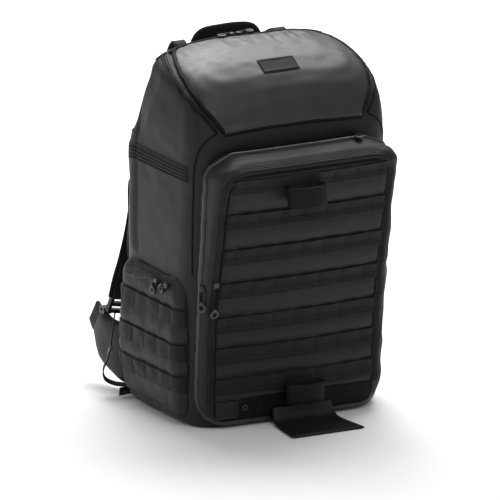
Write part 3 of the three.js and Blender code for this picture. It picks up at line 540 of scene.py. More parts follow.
coated = makeCloth("coatedCloth", (0.009, 0.009, 0.0093), (0.013, 0.013, 0.0133), 0.5, weave,
                   {"Threads": 1100.0, "Unevenness": 0.8}, 0.1, gloss=0.27)
lidCloth = makeCloth("lidCloth", (0.009, 0.0086, 0.0082), (0.013, 0.0125, 0.012), 0.46, weave,
                     {"Threads": 1100.0, "Unevenness": 0.8}, 0.05, gloss=0.62)
webbingCloth = makeCloth("webbingCloth", (0.0055, 0.0055, 0.0057), (0.009, 0.009, 0.0093), 0.6, ribs,
                         {"Ribs": 620.0, "Threads": 620.0}, 0.12, gloss=0.24, sheen=0.02)
loopCloth = makeCloth("loopCloth", (0.004, 0.004, 0.0042), (0.007, 0.007, 0.0072), 0.6, ribs,
                      {"Ribs": 620.0, "Threads": 620.0}, 0.12, gloss=0.18)
bindingCloth = makeCloth("bindingCloth", (0.003, 0.003, 0.003), (0.005, 0.005, 0.005), 0.6, ribs,
                         {"Ribs": 600.0, "Threads": 800.0}, 0.12, gloss=0.14)
zipCloth = makeCloth("zipCloth", (0.004, 0.004, 0.004), (0.006, 0.006, 0.006), 0.45, ribs,
                     {"Ribs": 300.0, "Threads": 500.0}, 0.3, gloss=0.24)
pipingCloth = makeCloth("pipingCloth", (0.009, 0.009, 0.0093), (0.014, 0.014, 0.0143), 0.32, weave,
                        {"Threads": 1600.0, "Unevenness": 0.5}, 0.03, gloss=0.45, coat=0.35)
meshCloth = makeCloth("spacerMesh", (0.006, 0.006, 0.006), (0.01, 0.01, 0.01), 0.8, knit,
                      {"Holes": 330.0}, 0.6, gloss=0.2, sheen=0.03)
patchRubber = makeCloth("patchRubber", (0.008, 0.008, 0.008), (0.012, 0.012, 0.012), 0.6, weave,
                        {"Threads": 1500.0, "Unevenness": 1.0}, 0.05, gloss=0.22)
blackPlastic = makeHard("blackPlastic", (0.009, 0.009, 0.0093), 0.42)
darkMetal = makeHard("darkMetal", (0.035, 0.035, 0.037), 0.3, metal=0.6)
pullRubber = makeHard("pullRubber", (0.035, 0.035, 0.036), 0.34)
print("materials made")


# The bag, in mm: front and back are its reach each way

bag = {"halfWidth": 168, "front": 118, "back": 115, "height": 561,
       "axis": (0, 0), "castFrom": 70, "castTo": 430, "spacing": 4.2,
       "sideSeam": 58, "seamDepth": 2.4, "rollRise": 2.6, "baseSeam": 20, "baseDepth": 1.6,
       "panelPuff": 2.2, "upperPuff": 1.5}


def shapeBody(grid):
    x, y, z = millimetres(grid)
    onSide = ramp(np.abs(x), 120, 160)
    fade = ramp(z, 236, 246) * (1 - ramp(z, 515, 545))
    seam = -bag["seamDepth"] * bump(y, bag["sideSeam"], 2.6) * onSide * fade
    roll = bag["rollRise"] * bump(y, bag["sideSeam"] + 17, 12) * onSide * fade
    panel = bag["panelPuff"] * bump(z, 306, 60) * bump(y, -10, 60) * onSide
    upper = bag["upperPuff"] * bump(z, 455, 30) * bump(y, -5, 60) * onSide
    base = -bag["baseDepth"] * bump(z, bag["baseSeam"], 2.4)
    uneven = 1.3 * noiseField(grid, 0.07, 1) + 0.6 * noiseField(grid, 0.028, 2)
    creases = 0.8 * noiseField(grid, 0.03, 3, (1, 1, 2.6)) * onSide * bump(z, 400, 70)
    top = 0.7 * noiseField(grid, 0.02, 4, (1, 2.4, 1)) * ramp(z, 520, 550)
    soft = (uneven + creases + top) * ramp(z, 2, 14)  # the base stays flat
    return raised(grid, seam + roll + panel + upper + base + soft, True)


body = shapeBody(castSkin(["body_shell", "lid"], bag["axis"], bag["castFrom"], bag["castTo"],
                          spacing=bag["spacing"]))
bodyTree = gridTree(body, True)
bodyPiece = addMesh("bodyCloth", body, coated, ["body_shell"], wrap=True)
print("body made:", body.shape)


# The lid lies in a plane that leans back. Its seam is (y, z), and t runs up the plane from there. The
# outline gives half the lid's width, as a share of the bag's, at shares of its length.

lid = {"seam": (-123.9, 461.7), "length": 184.0, "lean": math.radians(32.65),
       "outline": [(0, 0.7), (0.1, 0.79), (0.2, 0.855), (0.37, 0.895), (0.6, 0.88), (0.77, 0.833),
                   (0.9, 0.775), (0.97, 0.71), (1, 0.63)],
       "thick": 2.6, "pillow": 2.2, "lip": 2.4, "rows": 76, "cols": 112,
       "zipOut": 4.5, "bindingIn": 2.0, "weltOut": 9.5, "seamHalf": 118}


def lidHalf(share):
    return bag["halfWidth"] * np.interp(share, *zip(*lid["outline"]))


# Where a ray down through the lid's plane meets a skin, and which way the skin faces there.
def meetBelow(tree, x, t):
    lean, (y, z) = lid["lean"], lid["seam"]
    up = Vector((0, -math.sin(lean), math.cos(lean)))
    place = Vector((x, y + t * math.cos(lean), z + t * math.sin(lean)))
    found = tree.ray_cast(place * mm + up * 0.14, -up)
    return found[0], found[1]


def buildLid():
    rows, cols = lid["rows"], lid["cols"]
    grid = np.zeros((rows, cols, 3))
    facing = np.zeros((rows, cols, 3))
    edge = np.zeros((rows, cols))
    for i, share in enumerate(np.linspace(-0.012, 1, rows)):
        for j, u in enumerate(np.linspace(-1, 1, cols)):
            half = lidHalf(max(share, 0)) - 2
            grid[i, j], facing[i, j] = meetBelow(bodyTree, u * half, share * lid["length"])
            edge[i, j] = min((1 - abs(u)) * half, (1 - share) * lid["length"])
    for _ in range(5):
        facing = neighbours(facing) / 4
    facing /= np.linalg.norm(facing, axis=2, keepdims=True)
    t = np.linspace(0, 1, rows)[:, None]
    u = np.linspace(-1, 1, cols)[None]
    pillow = lid["thick"] * ramp(edge, -1, 4) + lid["pillow"] * (1 - u ** 4) * np.sin(np.pi * t) ** 0.6
    lip = lid["lip"] * bump(t, 0.018, 0.02)
    creases = 1.5 * noiseField(grid, 0.02, 11, (1.9, 0.7, 1)) * ramp(t, 0.72, 0.92)
    creases = creases + 0.9 * noiseField(grid, 0.03, 12, (1, 0.5, 0.5)) * ramp(np.abs(u), 0.55, 0.9)
    soft = 0.35 * noiseField(grid, 0.07, 13)
    rise = pillow + lip + creases * ramp(edge, 2, 12) + soft
    rise[0] = -1.5  # the front edge tucks in
    return grid + facing * (rise * mm)[..., None]


lidGrid = buildLid()
lidTree = gridTree(lidGrid)
lidPiece = addMesh("lidPanel", lidGrid, lidCloth, ["lid"])


# Places on the bag along the lid's outline, some way outside it.
def aroundLid(grow, low, high):
    side = [(lidHalf(share) + grow, share * (lid["length"] + grow)) for share in np.linspace(low, high, 26)]
    outline = [(-x, t) for x, t in side] + side[::-1]
    return [tuple(meetBelow(bodyTree, x, t)[0] / mm) for x, t in outline]


def beadProfile(half, height):
    return [(half * math.cos(t), height * math.sin(t) - 0.4) for t in np.linspace(math.pi, 0, 9)]


def coilRelief(along, across, height):
    teeth = 0.25 * math.sin(along * 3.2) if abs(across) < 1.8 else 0
    return height + teeth


halfZip = [(-5.2, -1), (-5, 1.0), (-3.2, 1.3), (-2.4, 1.1), (-1.8, 2.2), (-0.8, 2.7)]
zipProfile = halfZip + [(0, 2.1)] + [(-a, h) for a, h in reversed(halfZip)]


def addZip(name, tree, path, node):
    addRibbon(name, tree, path, zipProfile, zipCloth, [node], relief=coilRelief)


addZip("lidZip", bodyTree, aroundLid(lid["zipOut"], 0.03, 0.98), "lid_zip")
addRibbon("lidBinding", bodyTree, aroundLid(-lid["bindingIn"], 0, 0.985), beadProfile(3.4, 5.0), bindingCloth)
addRibbon("lidWelt", bodyTree, aroundLid(lid["weltOut"], 0, 0.97), beadProfile(2.2, 2.6), bindingCloth)
seamLine = [meetBelow(bodyTree, x, -2)[0] / mm for x in np.linspace(-lid["seamHalf"], lid["seamHalf"], 15)]
addRibbon("lidSeam", bodyTree, seamLine, beadProfile(3.0, 1.6), bindingCloth)
print("lid made")


# The patch on the lid: a raised frame around a bare field

patch = {"width": 62, "height": 30, "middle": 0.45, "frame": 3.2, "rise": 1.5, "frameRise": 1.0,
         "rows": 30, "cols": 58}


def buildPatch():
    grid = np.zeros((patch["rows"], patch["cols"], 3))
    for i, v in enumerate(np.linspace(-1, 1, patch["rows"])):
        for j, u in enumerate(np.linspace(-1, 1, patch["cols"])):
            x, t = u * patch["width"] / 2, patch["middle"] * lid["length"] + v * patch["height"] / 2
            place, facing = meetBelow(lidTree, x, t)
            edge = min((1 - abs(u)) * patch["width"] / 2, (1 - abs(v)) * patch["height"] / 2)
            rise = -0.8
            if edge > 0.05:
                rise = patch["rise"] + patch["frameRise"] * math.exp(-(edge - patch["frame"]) ** 2)
            grid[i, j] = place + facing * rise * mm
    return grid


addMesh("lidPatch", buildPatch(), patchRubber, ["lid_patch"])


# The front compartment. Lift and tall are the height of its foot and its own height, in mm, and rows have
# the shares of that height where their tops are.

compartment = {"axis": (0, -107), "castFrom": 60, "castTo": 375, "turn": (160, 380), "lift": 8, "tall": 420.7,
               "faceHalf": 135, "rimRise": 1.8, "puff": 2.6, "rowDent": 2.0, "lowestGap": 45.0}
faceRows = {"tops": [0.934, 0.798, 0.663, 0.533, 0.402, 0.285, 0.171], "tackStep": 38, "firstTack": 19,
            "slack": 1.6, "ribs": (-9.4, -5.6, -1.8), "droop": 2.2}


def shareHeight(share):
    return compartment["lift"] + share * compartment["tall"]


rowTops = [shareHeight(share) for share in faceRows["tops"]]
rowFeet = [top - webbingWidth for top in rowTops]


def droopAt(x):
    return -faceRows["droop"] * np.cos(np.clip(x / compartment["faceHalf"], -1, 1) * math.pi / 2)


# Cloth swells between webbing rows and dents under their top edges. Gaps are (foot, head) in mm.
def puffs(z, gaps, rise, roundness, dent, below, soft):
    total = 0
    for low, high in gaps:
        inside = np.clip((z - low) / (high - low), 0, 1)
        total = total + rise * np.sin(np.pi * inside) ** roundness - dent * bump(z, low + below, soft)
    return total


def shapeFront(grid, shown):
    x, y, z = millimetres(grid)
    face = ramp(-y, 118, 122) * (1 - ramp(np.abs(x), 128, 136))
    rim = compartment["rimRise"] * bump(np.abs(x), 149, 6) * ramp(z, 60, 90)
    groove = -1.6 * bump(np.abs(x), 136.5, 2.2) * (1 - ramp(z, 392, 405))
    gaps = zip(rowTops[1:] + [compartment["lowestGap"]], rowFeet)
    puff = puffs(z - droopAt(x), gaps, compartment["puff"], 0.7, compartment["rowDent"], 1.2, 1.6)
    creases = 2.6 * noiseField(grid, 0.03, 21, (1.3, 1, 0.8)) * ramp(x, 132, 150) * ramp(z, 20, 80)
    slant = np.stack([grid[..., 0] + grid[..., 2], grid[..., 1], grid[..., 2] * 0.3], -1)
    creases = creases + 1.6 * noiseField(slant, 0.02, 22) * ramp(x, 138, 156) * (1 - ramp(z, 380, 400))
    left = 1.1 * noiseField(grid, 0.022, 23, (1, 1, 1.6)) * ramp(-x, 138, 148)
    soft = 0.8 * noiseField(grid, 0.06, 24) + 0.8 * noiseField(grid, 0.03, 25, (0.5, 1, 1.8)) * face
    return raised(grid, (rim + groove + puff * face + creases + left + soft) * shown)


front, frontShown = castSkin(["front_compartment"], compartment["axis"], compartment["castFrom"],
                             compartment["castTo"], *compartment["turn"], spacing=3.4, smoothing=8,
                             backing=["body_shell", "lid"])
front = shapeFront(front, frontShown)
frontTree = gridTree(front)
frontPiece = addMesh("compartmentCloth", front, coated, ["front_compartment"], keep=frontShown)
print("front compartment made:", front.shape)


# Down each front corner of the bag: the seam from the lid to the compartment, a bead in the darkest binding
# cloth that also paints the shade of the groove beside the compartment

cornerSeamAndShade = [(-127, -121, 460), (-141, -118, 452), (-152, -113, 438), (-158, -110, 420), (-161, -108, 396),
              (-162, -106, 360), (-162, -104, 300), (-162, -102, 240)]
# The dark binding cloth of these beads is painted shade for the corner groove as well as the seam itself
addRibbon("cornerSeamAndShadeLeft", bodyTree, cornerSeamAndShade[::-1], beadProfile(1.8, 1.8), bindingCloth)
addRibbon("cornerSeamAndShadeRight", bodyTree, [(-x, y, z) for x, y, z in cornerSeamAndShade], beadProfile(1.8, 1.8),
          bindingCloth)


def onFace(x, z):
    found = frontTree.ray_cast(Vector((x, -400, z)) * mm, Vector((0, 1, 0)))
    return None if found[0] is None else tuple(found[0] / mm)


def turnAbout(x, z, radius, first, last, count=7):
    angles = [math.radians(a) for a in np.linspace(first, last, count)]
    return [(x + radius * math.cos(a), z + radius * math.sin(a)) for a in angles]


frontZip = {"half": 143, "low": 42, "high": 411, "corner": 34}


# The zip's arch on the face: up the left side, over the top and down the right.
def archPath(half, low, high, corner):
    path = [(-half, z) for z in np.linspace(low, high - corner, 12)]
    path += turnAbout(-half + corner, high - corner, corner, 180, 90)[1:]
    top = [(x, high) for x in np.linspace(-half + corner, half - corner, 9)[1:-1]]
    return path + top + [(-x, z) for x, z in reversed(path)]


addZip("frontZip", frontTree, [onFace(x, z) for x, z in archPath(**frontZip)], "front_zip")

faceFrame = {"half": 134.5, "low": 14, "high": 403.5, "lowRound": 20, "highRound": 28}


# A closed path around the face.
def framePath(half, low, high, lowRound, highRound):
    path = []
    for x, z, radius, first in ((-half, high, highRound, 180), (half, high, highRound, 90),
                                (half, low, lowRound, 0), (-half, low, lowRound, -90)):
        side, up = math.copysign(1, x), 1 if z == high else -1
        path += turnAbout(x - side * radius, z - up * radius, radius, first, first - 90)
    filled = []
    for (x0, z0), (x1, z1) in zip(path, path[1:] + path[:1]):
        count = max(1, int(math.hypot(x1 - x0, z1 - z0) / 12))
        filled += [(x0 + (x1 - x0) * k / count, z0 + (z1 - z0) * k / count) for k in range(count)]
    return filled


rimPath = [onFace(x, z) for x, z in framePath(**faceFrame)]
addRibbon("faceWelt", frontTree, [p for p in rimPath if p], beadProfile(1.9, 1.8), bindingCloth, closed=True)


# The shiny piping where the compartment meets the bag. Its line is (share of the bag's front, share of the
# compartment's height), and low and high are its places round the foot and over the top.

piping = {"line": [(0.85, 0), (0.88, 0.1), (0.9, 0.177), (1.11, 0.908), (1.14, 1.046)], "out": 160,
          "radius": 3.7, "height": 4.0,
          "low": [(0, -124, 7), (-60, -123, 7), (-105, -121, 8), (-128, -117, 11), (-143, -111, 20),
                  (-152, -107, 33)],
          "high": [(-157, -132, 408), (-150, -134, 420), (-139, -136, 427), (-118, -137, 429),
                   (-60, -138, 430), (0, -138, 430)]}


def pipingPath():
    heights = [shareHeight(share) for _, share in piping["line"]]
    fronts = [reach * -bag["front"] - 2.5 for reach, _ in piping["line"]]
    side = [(-piping["out"], np.interp(z, heights, fronts), z) for z in np.arange(48, 398, 14)]
    left = piping["low"] + side + piping["high"]
    return left + [(-x, y, z) for x, y, z in left[1:-1]][::-1]


addRibbon("compartmentPiping", frontTree, pipingPath(), beadProfile(piping["radius"], piping["height"]),
          pipingCloth, ["compartment_piping"], closed=True)


# Webbing rows on the face: ribs in the lower half, tacks at even steps and a little slack between them

def rowProfile(ribPlaces):
    edge = webbingWidth / 2
    profile = [(-edge - 0.2, sunkEnd)]
    for a in np.linspace(-edge, edge, 33):
        rib = sum(1.5 * math.exp(-((a - r) / 0.95) ** 2) for r in ribPlaces)
        top = 0.9 * math.exp(-((a - edge + 1.0) / 1.2) ** 2)
        profile.append((a, 1.5 + rib + top))
    return profile + [(edge + 0.2, sunkEnd)]


def rowRelief(offset, step, slack):
    def relief(along, across, height):
        if height < 0:
            return height
        phase = ((along + offset) / step) % 1
        tack = math.exp(-((min(phase, 1 - phase) * step / 1.5) ** 2))
        loose = slack * math.sin(math.pi * phase) ** 2 * (0.6 + 0.4 * across / 12.7)
        return height + loose - 1.3 * tack
    return relief


for number, top in enumerate(rowTops):
    reach = compartment["faceHalf"] - (0 if number else 4)  # the top row ends inside the round corners
    middle = top - webbingWidth / 2
    path = [onFace(x, middle + droopAt(x)) for x in np.linspace(-reach, reach, 23)]
    tacks = rowRelief(faceRows["firstTack"] + number % 2, faceRows["tackStep"], faceRows["slack"])
    addRibbon(f"faceRow{number + 1}", frontTree, path, rowProfile(faceRows["ribs"]), webbingCloth,
              [f"face_row_{number + 1}"], step=2.4, relief=tacks)

# The hem: a flap at its left end and a flat slot beside it, with raised edges
hem = {"low": 17, "high": 44, "flap": (-133, -97), "slot": (-95, 133)}


def addHem(name, ends, lift, edge, material, nodes=()):
    half = (hem["high"] - hem["low"]) / 2
    profile = [(-half - 0.2, -1)]
    profile += [(a, lift + edge * bump(abs(a), half - 1.4, 1.5)) for a in np.linspace(-half, half, 21)]
    profile += [(half + 0.2, -1)]
    path = [onFace(x, hem["low"] + half) for x in np.linspace(*ends, 15)]
    addRibbon(name, frontTree, path, profile, material, nodes)


addHem("hemFlap", hem["flap"], 2.6, 0.3, coated)
addHem("faceHem", hem["slot"], 0.9, 1.6, bindingCloth, ["face_hem"])

eyelet = {"radius": 3.7, "thick": 1.3, "off": 2.0}
low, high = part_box("hem_eyelet")
spot = (low + high) / 2 / mm
found = frontTree.ray_cast(Vector((spot.x, -400, spot.z)) * mm, Vector((0, 1, 0)))
addRing("hemEyelet", found[0] / mm + found[1] * eyelet["off"], found[1], eyelet["radius"], eyelet["thick"],
        darkMetal, ["hem_eyelet"], "metal")
print("face rows made")


# Side pockets, met from an upright axis. Angles are degrees round that axis.

pocket = {"rear": 98.9, "out": 160, "lift": 6, "tall": 223, "rows": [0.8, 0.56, 0.34], "foot": 20.0,
          "head": 222.0, "zipHeight": 217, "zipSag": 8, "spacing": 3.2, "slack": 2.0, "inner": 0.152}
pocketSides = {"Left": {"side": -1, "length": 194, "turn": (60, 290), "rowEnds": (95, 267), "outward": 180},
               "Right": {"side": 1, "length": 176, "turn": (-110, 120), "rowEnds": (-87, 85), "outward": 0}}


def shapePocket(grid, shown, side, tops):
    x, y, z = millimetres(grid)
    creases = 1.5 * noiseField(grid, 0.03, 31 + side, (1, 1, 0.9)) + 0.9 * noiseField(grid, 0.014, 33 + side)
    gather = 1.2 * noiseField(grid, 0.02, 35, (1, 0.35, 1.3)) * ramp(z, 190, 222)
    edge = 1.2 * bump(z, 14, 5)
    gaps = zip(tops + [pocket["foot"]], [pocket["head"]] + [top - webbingWidth for top in tops])
    puff = puffs(z, gaps, 1.8, 0.8, 1.8, 1.4, 1.7)
    return raised(grid, (creases * ramp(np.abs(x), 150, 172) + gather + edge + puff) * shown)


def buildPocket(word, side, length, turn, rowEnds, outward):
    node = f"side_pocket_{word.lower()}"
    axis = (side * pocket["out"], pocket["rear"] - length / 2)
    tops = [pocket["lift"] + share * pocket["tall"] for share in pocket["rows"]]
    grid, shown = castSkin([node], axis, 50, 185, *turn, spacing=pocket["spacing"], smoothing=7,
                           backing=["body_shell", "front_compartment"])
    grid = shapePocket(grid, shown, side, tops)
    piece = addMesh(f"pocketCloth{word}", grid, coated, [node], keep=shown)
    tree = gridTree(grid)

    def around(first, last, heightAt):
        places = []
        for angle in np.linspace(first, last, 23):
            out = Vector((math.cos(math.radians(angle)), math.sin(math.radians(angle)), 0))
            found = tree.ray_cast(Vector((*axis, heightAt(angle))) * mm + out * 0.5, -out)[0]
            if found is not None and abs(found.x) > pocket["inner"]:
                places.append(tuple(found / mm))
        return places

    for number, top in enumerate(tops):
        path = around(*rowEnds, lambda angle: top - webbingWidth / 2)
        addRibbon(f"pocketRow{number + 1}{word}", tree, path, rowProfile(()), webbingCloth,
                  [f"pocket_row_{number + 1}_{word.lower()}"], step=2.4,
                  relief=rowRelief(16, 38, pocket["slack"]))

    def zipHeight(angle):
        return pocket["zipHeight"] - pocket["zipSag"] * ((angle - outward) / 70) ** 2

    path = around(outward - 76, outward + 70, zipHeight)
    addZip(f"pocketZip{word}", tree, path, f"pocket_zip_{word.lower()}")


for word, p in pocketSides.items():
    buildPocket(word, **p)


# Ribbed strip across each side

strip = {"height": 395.2, "front": -100, "rear": 84, "half": 13, "thick": 0.8, "rib": 1.9, "ribs": 2.5}


def stripProfile():
    half = strip["half"]
    profile = [(-half - 0.2, -1)]
    for a in np.linspace(-half, half, 41):
        rib = strip["rib"] * math.cos(a / half * math.pi * strip["ribs"]) ** 2
        profile.append((a, strip["thick"] + rib * (1 if abs(a) < half - 0.6 else 0.4)))
    return profile + [(half + 0.2, -1)]


for word, side in (("Left", -1), ("Right", 1)):
    path = []
    for y in np.linspace(strip["front"], strip["rear"], 21)[::side]:
        found = bodyTree.ray_cast(Vector((side * 400, y, strip["height"])) * mm, Vector((-side, 0, 0)))[0]
        if found is not None:
            path.append(tuple(found / mm))
    addRibbon(f"sideStrip{word}", bodyTree, path, stripProfile(), webbingCloth,
              [f"side_strip_{word.lower()}"])
print("sides made")


# Zip pulls: a slider, a cord and a ring tip, from where the slider sits to the tip's middle

pulls = {
    "front_pull_1": {"at": (-142.8, -145.9, 232.5), "to": (-142.8, -139.0, 186), "out": (0.1, -0.98, -0.18)},
    "front_pull_2": {"at": (-159.3, -129.8, 224.8), "to": (-161.0, -132, 197), "out": (-0.75, -0.65, 0)},
    "front_pull_3": {"at": (104.2, -134.5, 433.8), "to": (98.0, -148, 433.8), "out": (0, 0, 1)},
    "lid_pull_1": {"at": (-20.2, 34.5, 566.1), "to": (-38, 31, 566.1), "out": (0, 0, 1)},
    "lid_pull_2": {"at": (-6.7, 34.5, 566.1), "to": (12, 37.8, 566.1), "out": (0, 0, 1)},
    "pocket_pull_1_left": {"at": (-181.3, -25.3, 216.7), "to": (-181.3, -15, 201), "out": (-1, 0, 0)},
    "pocket_pull_2_left": {"at": (-181.3, -56.3, 216.7), "to": (-181.3, -42, 209), "out": (-1, 0, 0)},
    "pocket_pull_1_right": {"at": (180.1, -13.7, 216.7), "to": (180.1, -4, 201), "out": (1, 0, 0)},
    "pocket_pull_2_right": {"at": (180.1, -41.9, 216.7), "to": (180.1, -27, 209), "out": (1, 0, 0)},
}
pullSizes = {"slider": (8, 4.4, 11), "cord": 1.1, "neck": (4.6, 3.4, 6),
             "ring": (5.4, 1.9), "core": (1.9, 2.2)}


def buildPull(node, at, to, out):
    at, to, out = Vector(at), Vector(to), Vector(out).normalized()
    down = (to - at).normalized()
    side = down.cross(out).normalized()
    eye = at + down * 5.5 + out * 1.6
    loop = [eye + side * 2.2, eye + down * 6 + side * 1.4, to - down * 6 + side * 1.2, to - down * 4,
            to - down * 6 - side * 1.2, eye + down * 6 - side * 1.4, eye - side * 2.2, eye - down * 1.5]
    slider = addBlock(node + "_slider", at - out * 0.6, down, out, pullSizes["slider"], darkMetal)
    cord = addTube(node + "_cord", [tuple(q) for q in loop], pullSizes["cord"], bindingCloth, 1.6, True)
    ring = addRing(node + "_ring", to, out, *pullSizes["ring"], pullRubber, squash=0.8)
    core = addRing(node + "_core", to, out, *pullSizes["core"], bindingCloth, squash=0.35)
    neck = addBlock(node + "_neck", to - down * 6.5, down, out, pullSizes["neck"], pullRubber)
    words = node.split("_")
    name = words[0] + "".join(w.capitalize() for w in words[1:])
    return joinPieces(name, [slider, cord, ring, core, neck])


for node, p in pulls.items():
    piece = buildPull(node, **p)
    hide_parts(node)
print("pulls made")


# The back: a padded panel with a channel down its middle and slanting grooves across its pads

backPad = {"axis": (0, 98), "castFrom": 90, "castTo": 375, "turn": (-12, 192), "spacing": 3.4,
           "channel": 4.5, "channelHalf": 16, "grooves": (150, 225, 300, 365), "groove": 3.0, "slant": 0.16,
           "pad": 2.0, "padStep": 75, "edgeAt": 132, "edge": 2.2}


def shapeBack(grid, shown):
    x, y, z = millimetres(grid)
    face = ramp(y, 110, 120)
    slanted = z + backPad["slant"] * np.abs(x)
    channel = -backPad["channel"] * np.exp(-((x / backPad["channelHalf"]) ** 4)) * face
    cross = sum(-backPad["groove"] * bump(slanted, level, 4.5) for level in backPad["grooves"]) * face
    swell = np.abs(np.sin((slanted - backPad["padStep"]) / backPad["padStep"] * math.pi))
    pads = backPad["pad"] * swell * ramp(np.abs(x), 22, 60) * face
    edge = -backPad["edge"] * bump(np.abs(x), backPad["edgeAt"], 3) * face
    soft = 0.7 * noiseField(grid, 0.05, 41) + 0.4 * noiseField(grid, 0.018, 42)
    return raised(grid, (channel + cross + pads + edge + soft) * shown)


back, backShown = castSkin(["back_pad"], backPad["axis"], backPad["castFrom"], backPad["castTo"],
                           *backPad["turn"], spacing=backPad["spacing"], smoothing=5, backing=["body_shell"])
back = shapeBack(back, backShown)
backPiece = addMesh("backPanel", back, meshCloth, ["back_pad"], keep=backShown)


padding = {"voxel": 2.6, "smoothing": 10, "uneven": 0.8, "size": 26}


def meshValues(mesh, what):
    values = np.empty(len(mesh.vertices) * 3)
    mesh.vertices.foreach_get(what, values)
    return values.reshape(-1, 3)


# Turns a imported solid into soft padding: round edges and a slightly uneven surface.
def softNode(node, name, material, seed):
    piece = bpy.data.objects.new(name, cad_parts[node].data.copy())
    bpy.context.scene.collection.objects.link(piece)
    remesh = piece.modifiers.new("remesh", "REMESH")
    remesh.mode = "VOXEL"
    remesh.voxel_size = padding["voxel"] * mm
    smooth = piece.modifiers.new("smooth", "SMOOTH")
    smooth.iterations = padding["smoothing"]
    smooth.factor = 0.5
    graph = bpy.context.evaluated_depsgraph_get()
    made = bpy.data.meshes.new_from_object(piece.evaluated_get(graph))
    piece.modifiers.clear()
    piece.data = made
    made.materials.clear()
    made.materials.append(material)
    made.polygons.foreach_set("use_smooth", [True] * len(made.polygons))
    places, facing = meshValues(made, "co"), meshValues(made, "normal")
    rise = [padding["uneven"] * noise.noise(Vector(p / mm / padding["size"] + seed)) for p in places]
    made.vertices.foreach_set("co", (places + facing * np.array(rise)[:, None] * mm).ravel())
    made.update()
    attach(piece, "root")
    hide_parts(node)
    verts = [v.co.copy() for v in made.vertices]
    return BVHTree.FromPolygons(verts, [list(p.vertices) for p in made.polygons])


# Straps and belt. Rows are (x, y, z, share of full width): x in half widths of the bag, z in its heights
# and y in reaches behind its back. They are given for the left side.

strap = {"reach": 40, "halfWide": 31,
         "rows": [(-0.36, -0.78, 0.905, 0.94), (-0.375, -0.15, 0.922, 0.97), (-0.387, 0.4, 0.9, 1),
                  (-0.4, 0.7, 0.862, 1), (-0.42, 0.82, 0.812, 1), (-0.465, 0.86, 0.745, 1),
                  (-0.54, 0.82, 0.656, 0.98), (-0.61, 0.74, 0.553, 0.94), (-0.685, 0.68, 0.455, 0.87),
                  (-0.765, 0.72, 0.374, 0.78), (-0.835, 0.8, 0.312, 0.7), (-0.88, 0.87, 0.264, 0.62)],
         "lower": [(-0.915, 1.06, 0.215), (-0.955, 0.9, 0.18), (-1, 0.66, 0.15), (-1.035, 0.5, 0.123),
                   (-1.09, 0.4, 0.095), (-1.125, 0.36, 0.072), (-1.11, 0.3, 0.05), (-1.03, 0.2, 0.036),
                   (-0.95, 0.02, 0.032), (-0.87, -0.3, 0.03)],
         "lifter": [(-0.51, -1.25, 0.965), (-0.51, -1.05, 0.98), (-0.505, -0.8, 0.984),
                    (-0.48, -0.4, 0.969), (-0.44, 0.1, 0.944), (-0.41, 0.62, 0.904), (-0.4, 0.9, 0.87)],
         "webbing": (20, 1.9), "daisyStep": 45, "daisySlack": 1.4}
belt = {"reach": 110, "halfTall": 59,
        "rows": [(-0.56, 0.1, 0.128, 1), (-0.74, 0.18, 0.12, 0.94), (-0.83, 0.33, 0.105, 0.8),
                 (-0.865, 0.54, 0.11, 0.7), (-0.88, 0.77, 0.128, 0.66), (-0.87, 1, 0.163, 0.44)],
        "tab": [(-3, 44, 5), (3, 48, 6), (12, 46, 6), (20, 44, 5.4)]}
baseTab = {"rows": [(0.86, 0.86, 0.022), (0.95, 0.93, 0.019), (1.01, 0.99, 0.016)], "webbing": (17.8, 2.2)}
strapProfile = [(-10.2, -1)] + [(a, 1.8) for a in np.linspace(-10, 10, 11)] + [(10.2, -1)]


# Places behind the bag, in mm, with whatever else each row holds.
def behind(rows, side, reach):
    return [(-side * x * bag["halfWidth"], bag["back"] + y * reach, z * bag["height"], *more)
            for x, y, z, *more in rows]


def addStrap(word, side):
    low = word.lower()
    tree = softNode(f"shoulder_strap_{low}", f"shoulderStrap{word}", meshCloth, side)
    places = behind(strap["rows"], side, strap["reach"])
    for edge, edgeWord in ((-1, "Inner"), (1, "Outer")):
        path = [(x + edge * side * (wide * strap["halfWide"] - 1.4), y, z) for x, y, z, wide in places[1:]]
        addTube(f"strapBinding{edgeWord}{word}", path, 3.4, bindingCloth)
    path = [(x, y + 9, z) for x, y, z, _ in places[3:]]
    addRibbon(f"strapDaisy{word}", tree, path, strapProfile, webbingCloth,
              relief=rowRelief(0, strap["daisyStep"], strap["daisySlack"]))


def addBelt(word, side):
    low = word.lower()
    softNode(f"hip_belt_{low}", f"hipBelt{word}", coated, side + 5)
    places = behind(belt["rows"], side, belt["reach"])
    for edge, edgeWord in ((-1, "Lower"), (1, "Upper")):
        path = [(x, y, z + edge * (tall * belt["halfTall"] - 1.6)) for x, y, z, tall in places[1:]]
        addTube(f"beltBinding{edgeWord}{word}", path, 3.2, bindingCloth)
    return Vector(places[-2][:3]), Vector(places[-1][:3])


for word, side in (("Left", -1), ("Right", 1)):
    low = word.lower()
    addStrap(word, side)
    beltEnd = addBelt(word, side)

    edgeOn = (0.46 * -side, 0.85, 0)
    lower, lifter = (behind(strap[part], side, strap["reach"]) for part in ("lower", "lifter"))
    stations = [(*place, *edgeOn, *strap["webbing"]) for place in lower]
    addBand(f"strapWebbing{word}", stations, webbingCloth, [f"strap_webbing_{low}"], "webbing")
    stations = [(*place, 1, 0, 0, *strap["webbing"]) for place in lifter]
    addBand(f"loadLifter{word}", stations, webbingCloth, [f"load_lifter_{low}"], "webbing")
    stations = [(side * x * bag["halfWidth"], y * bag["back"], z * bag["height"], 0.6 * -side, -0.8, 0,
                 *baseTab["webbing"]) for x, y, z in baseTab["rows"]]
    addBand(f"baseTab{word}", stations, webbingCloth, [f"base_tab_{low}"], "webbing", step=2)

    # The belt's end: a folded webbing tab that carries on from the wing
    run = (beltEnd[1] - beltEnd[0]).normalized()
    stations = [(*(beltEnd[1] + run * d), 0, -0.15, 1, tall, thick) for d, tall, thick in belt["tab"]]
    addBand(f"beltTab{word}", stations, loopCloth, [f"belt_tab_{low}"], "rubber")

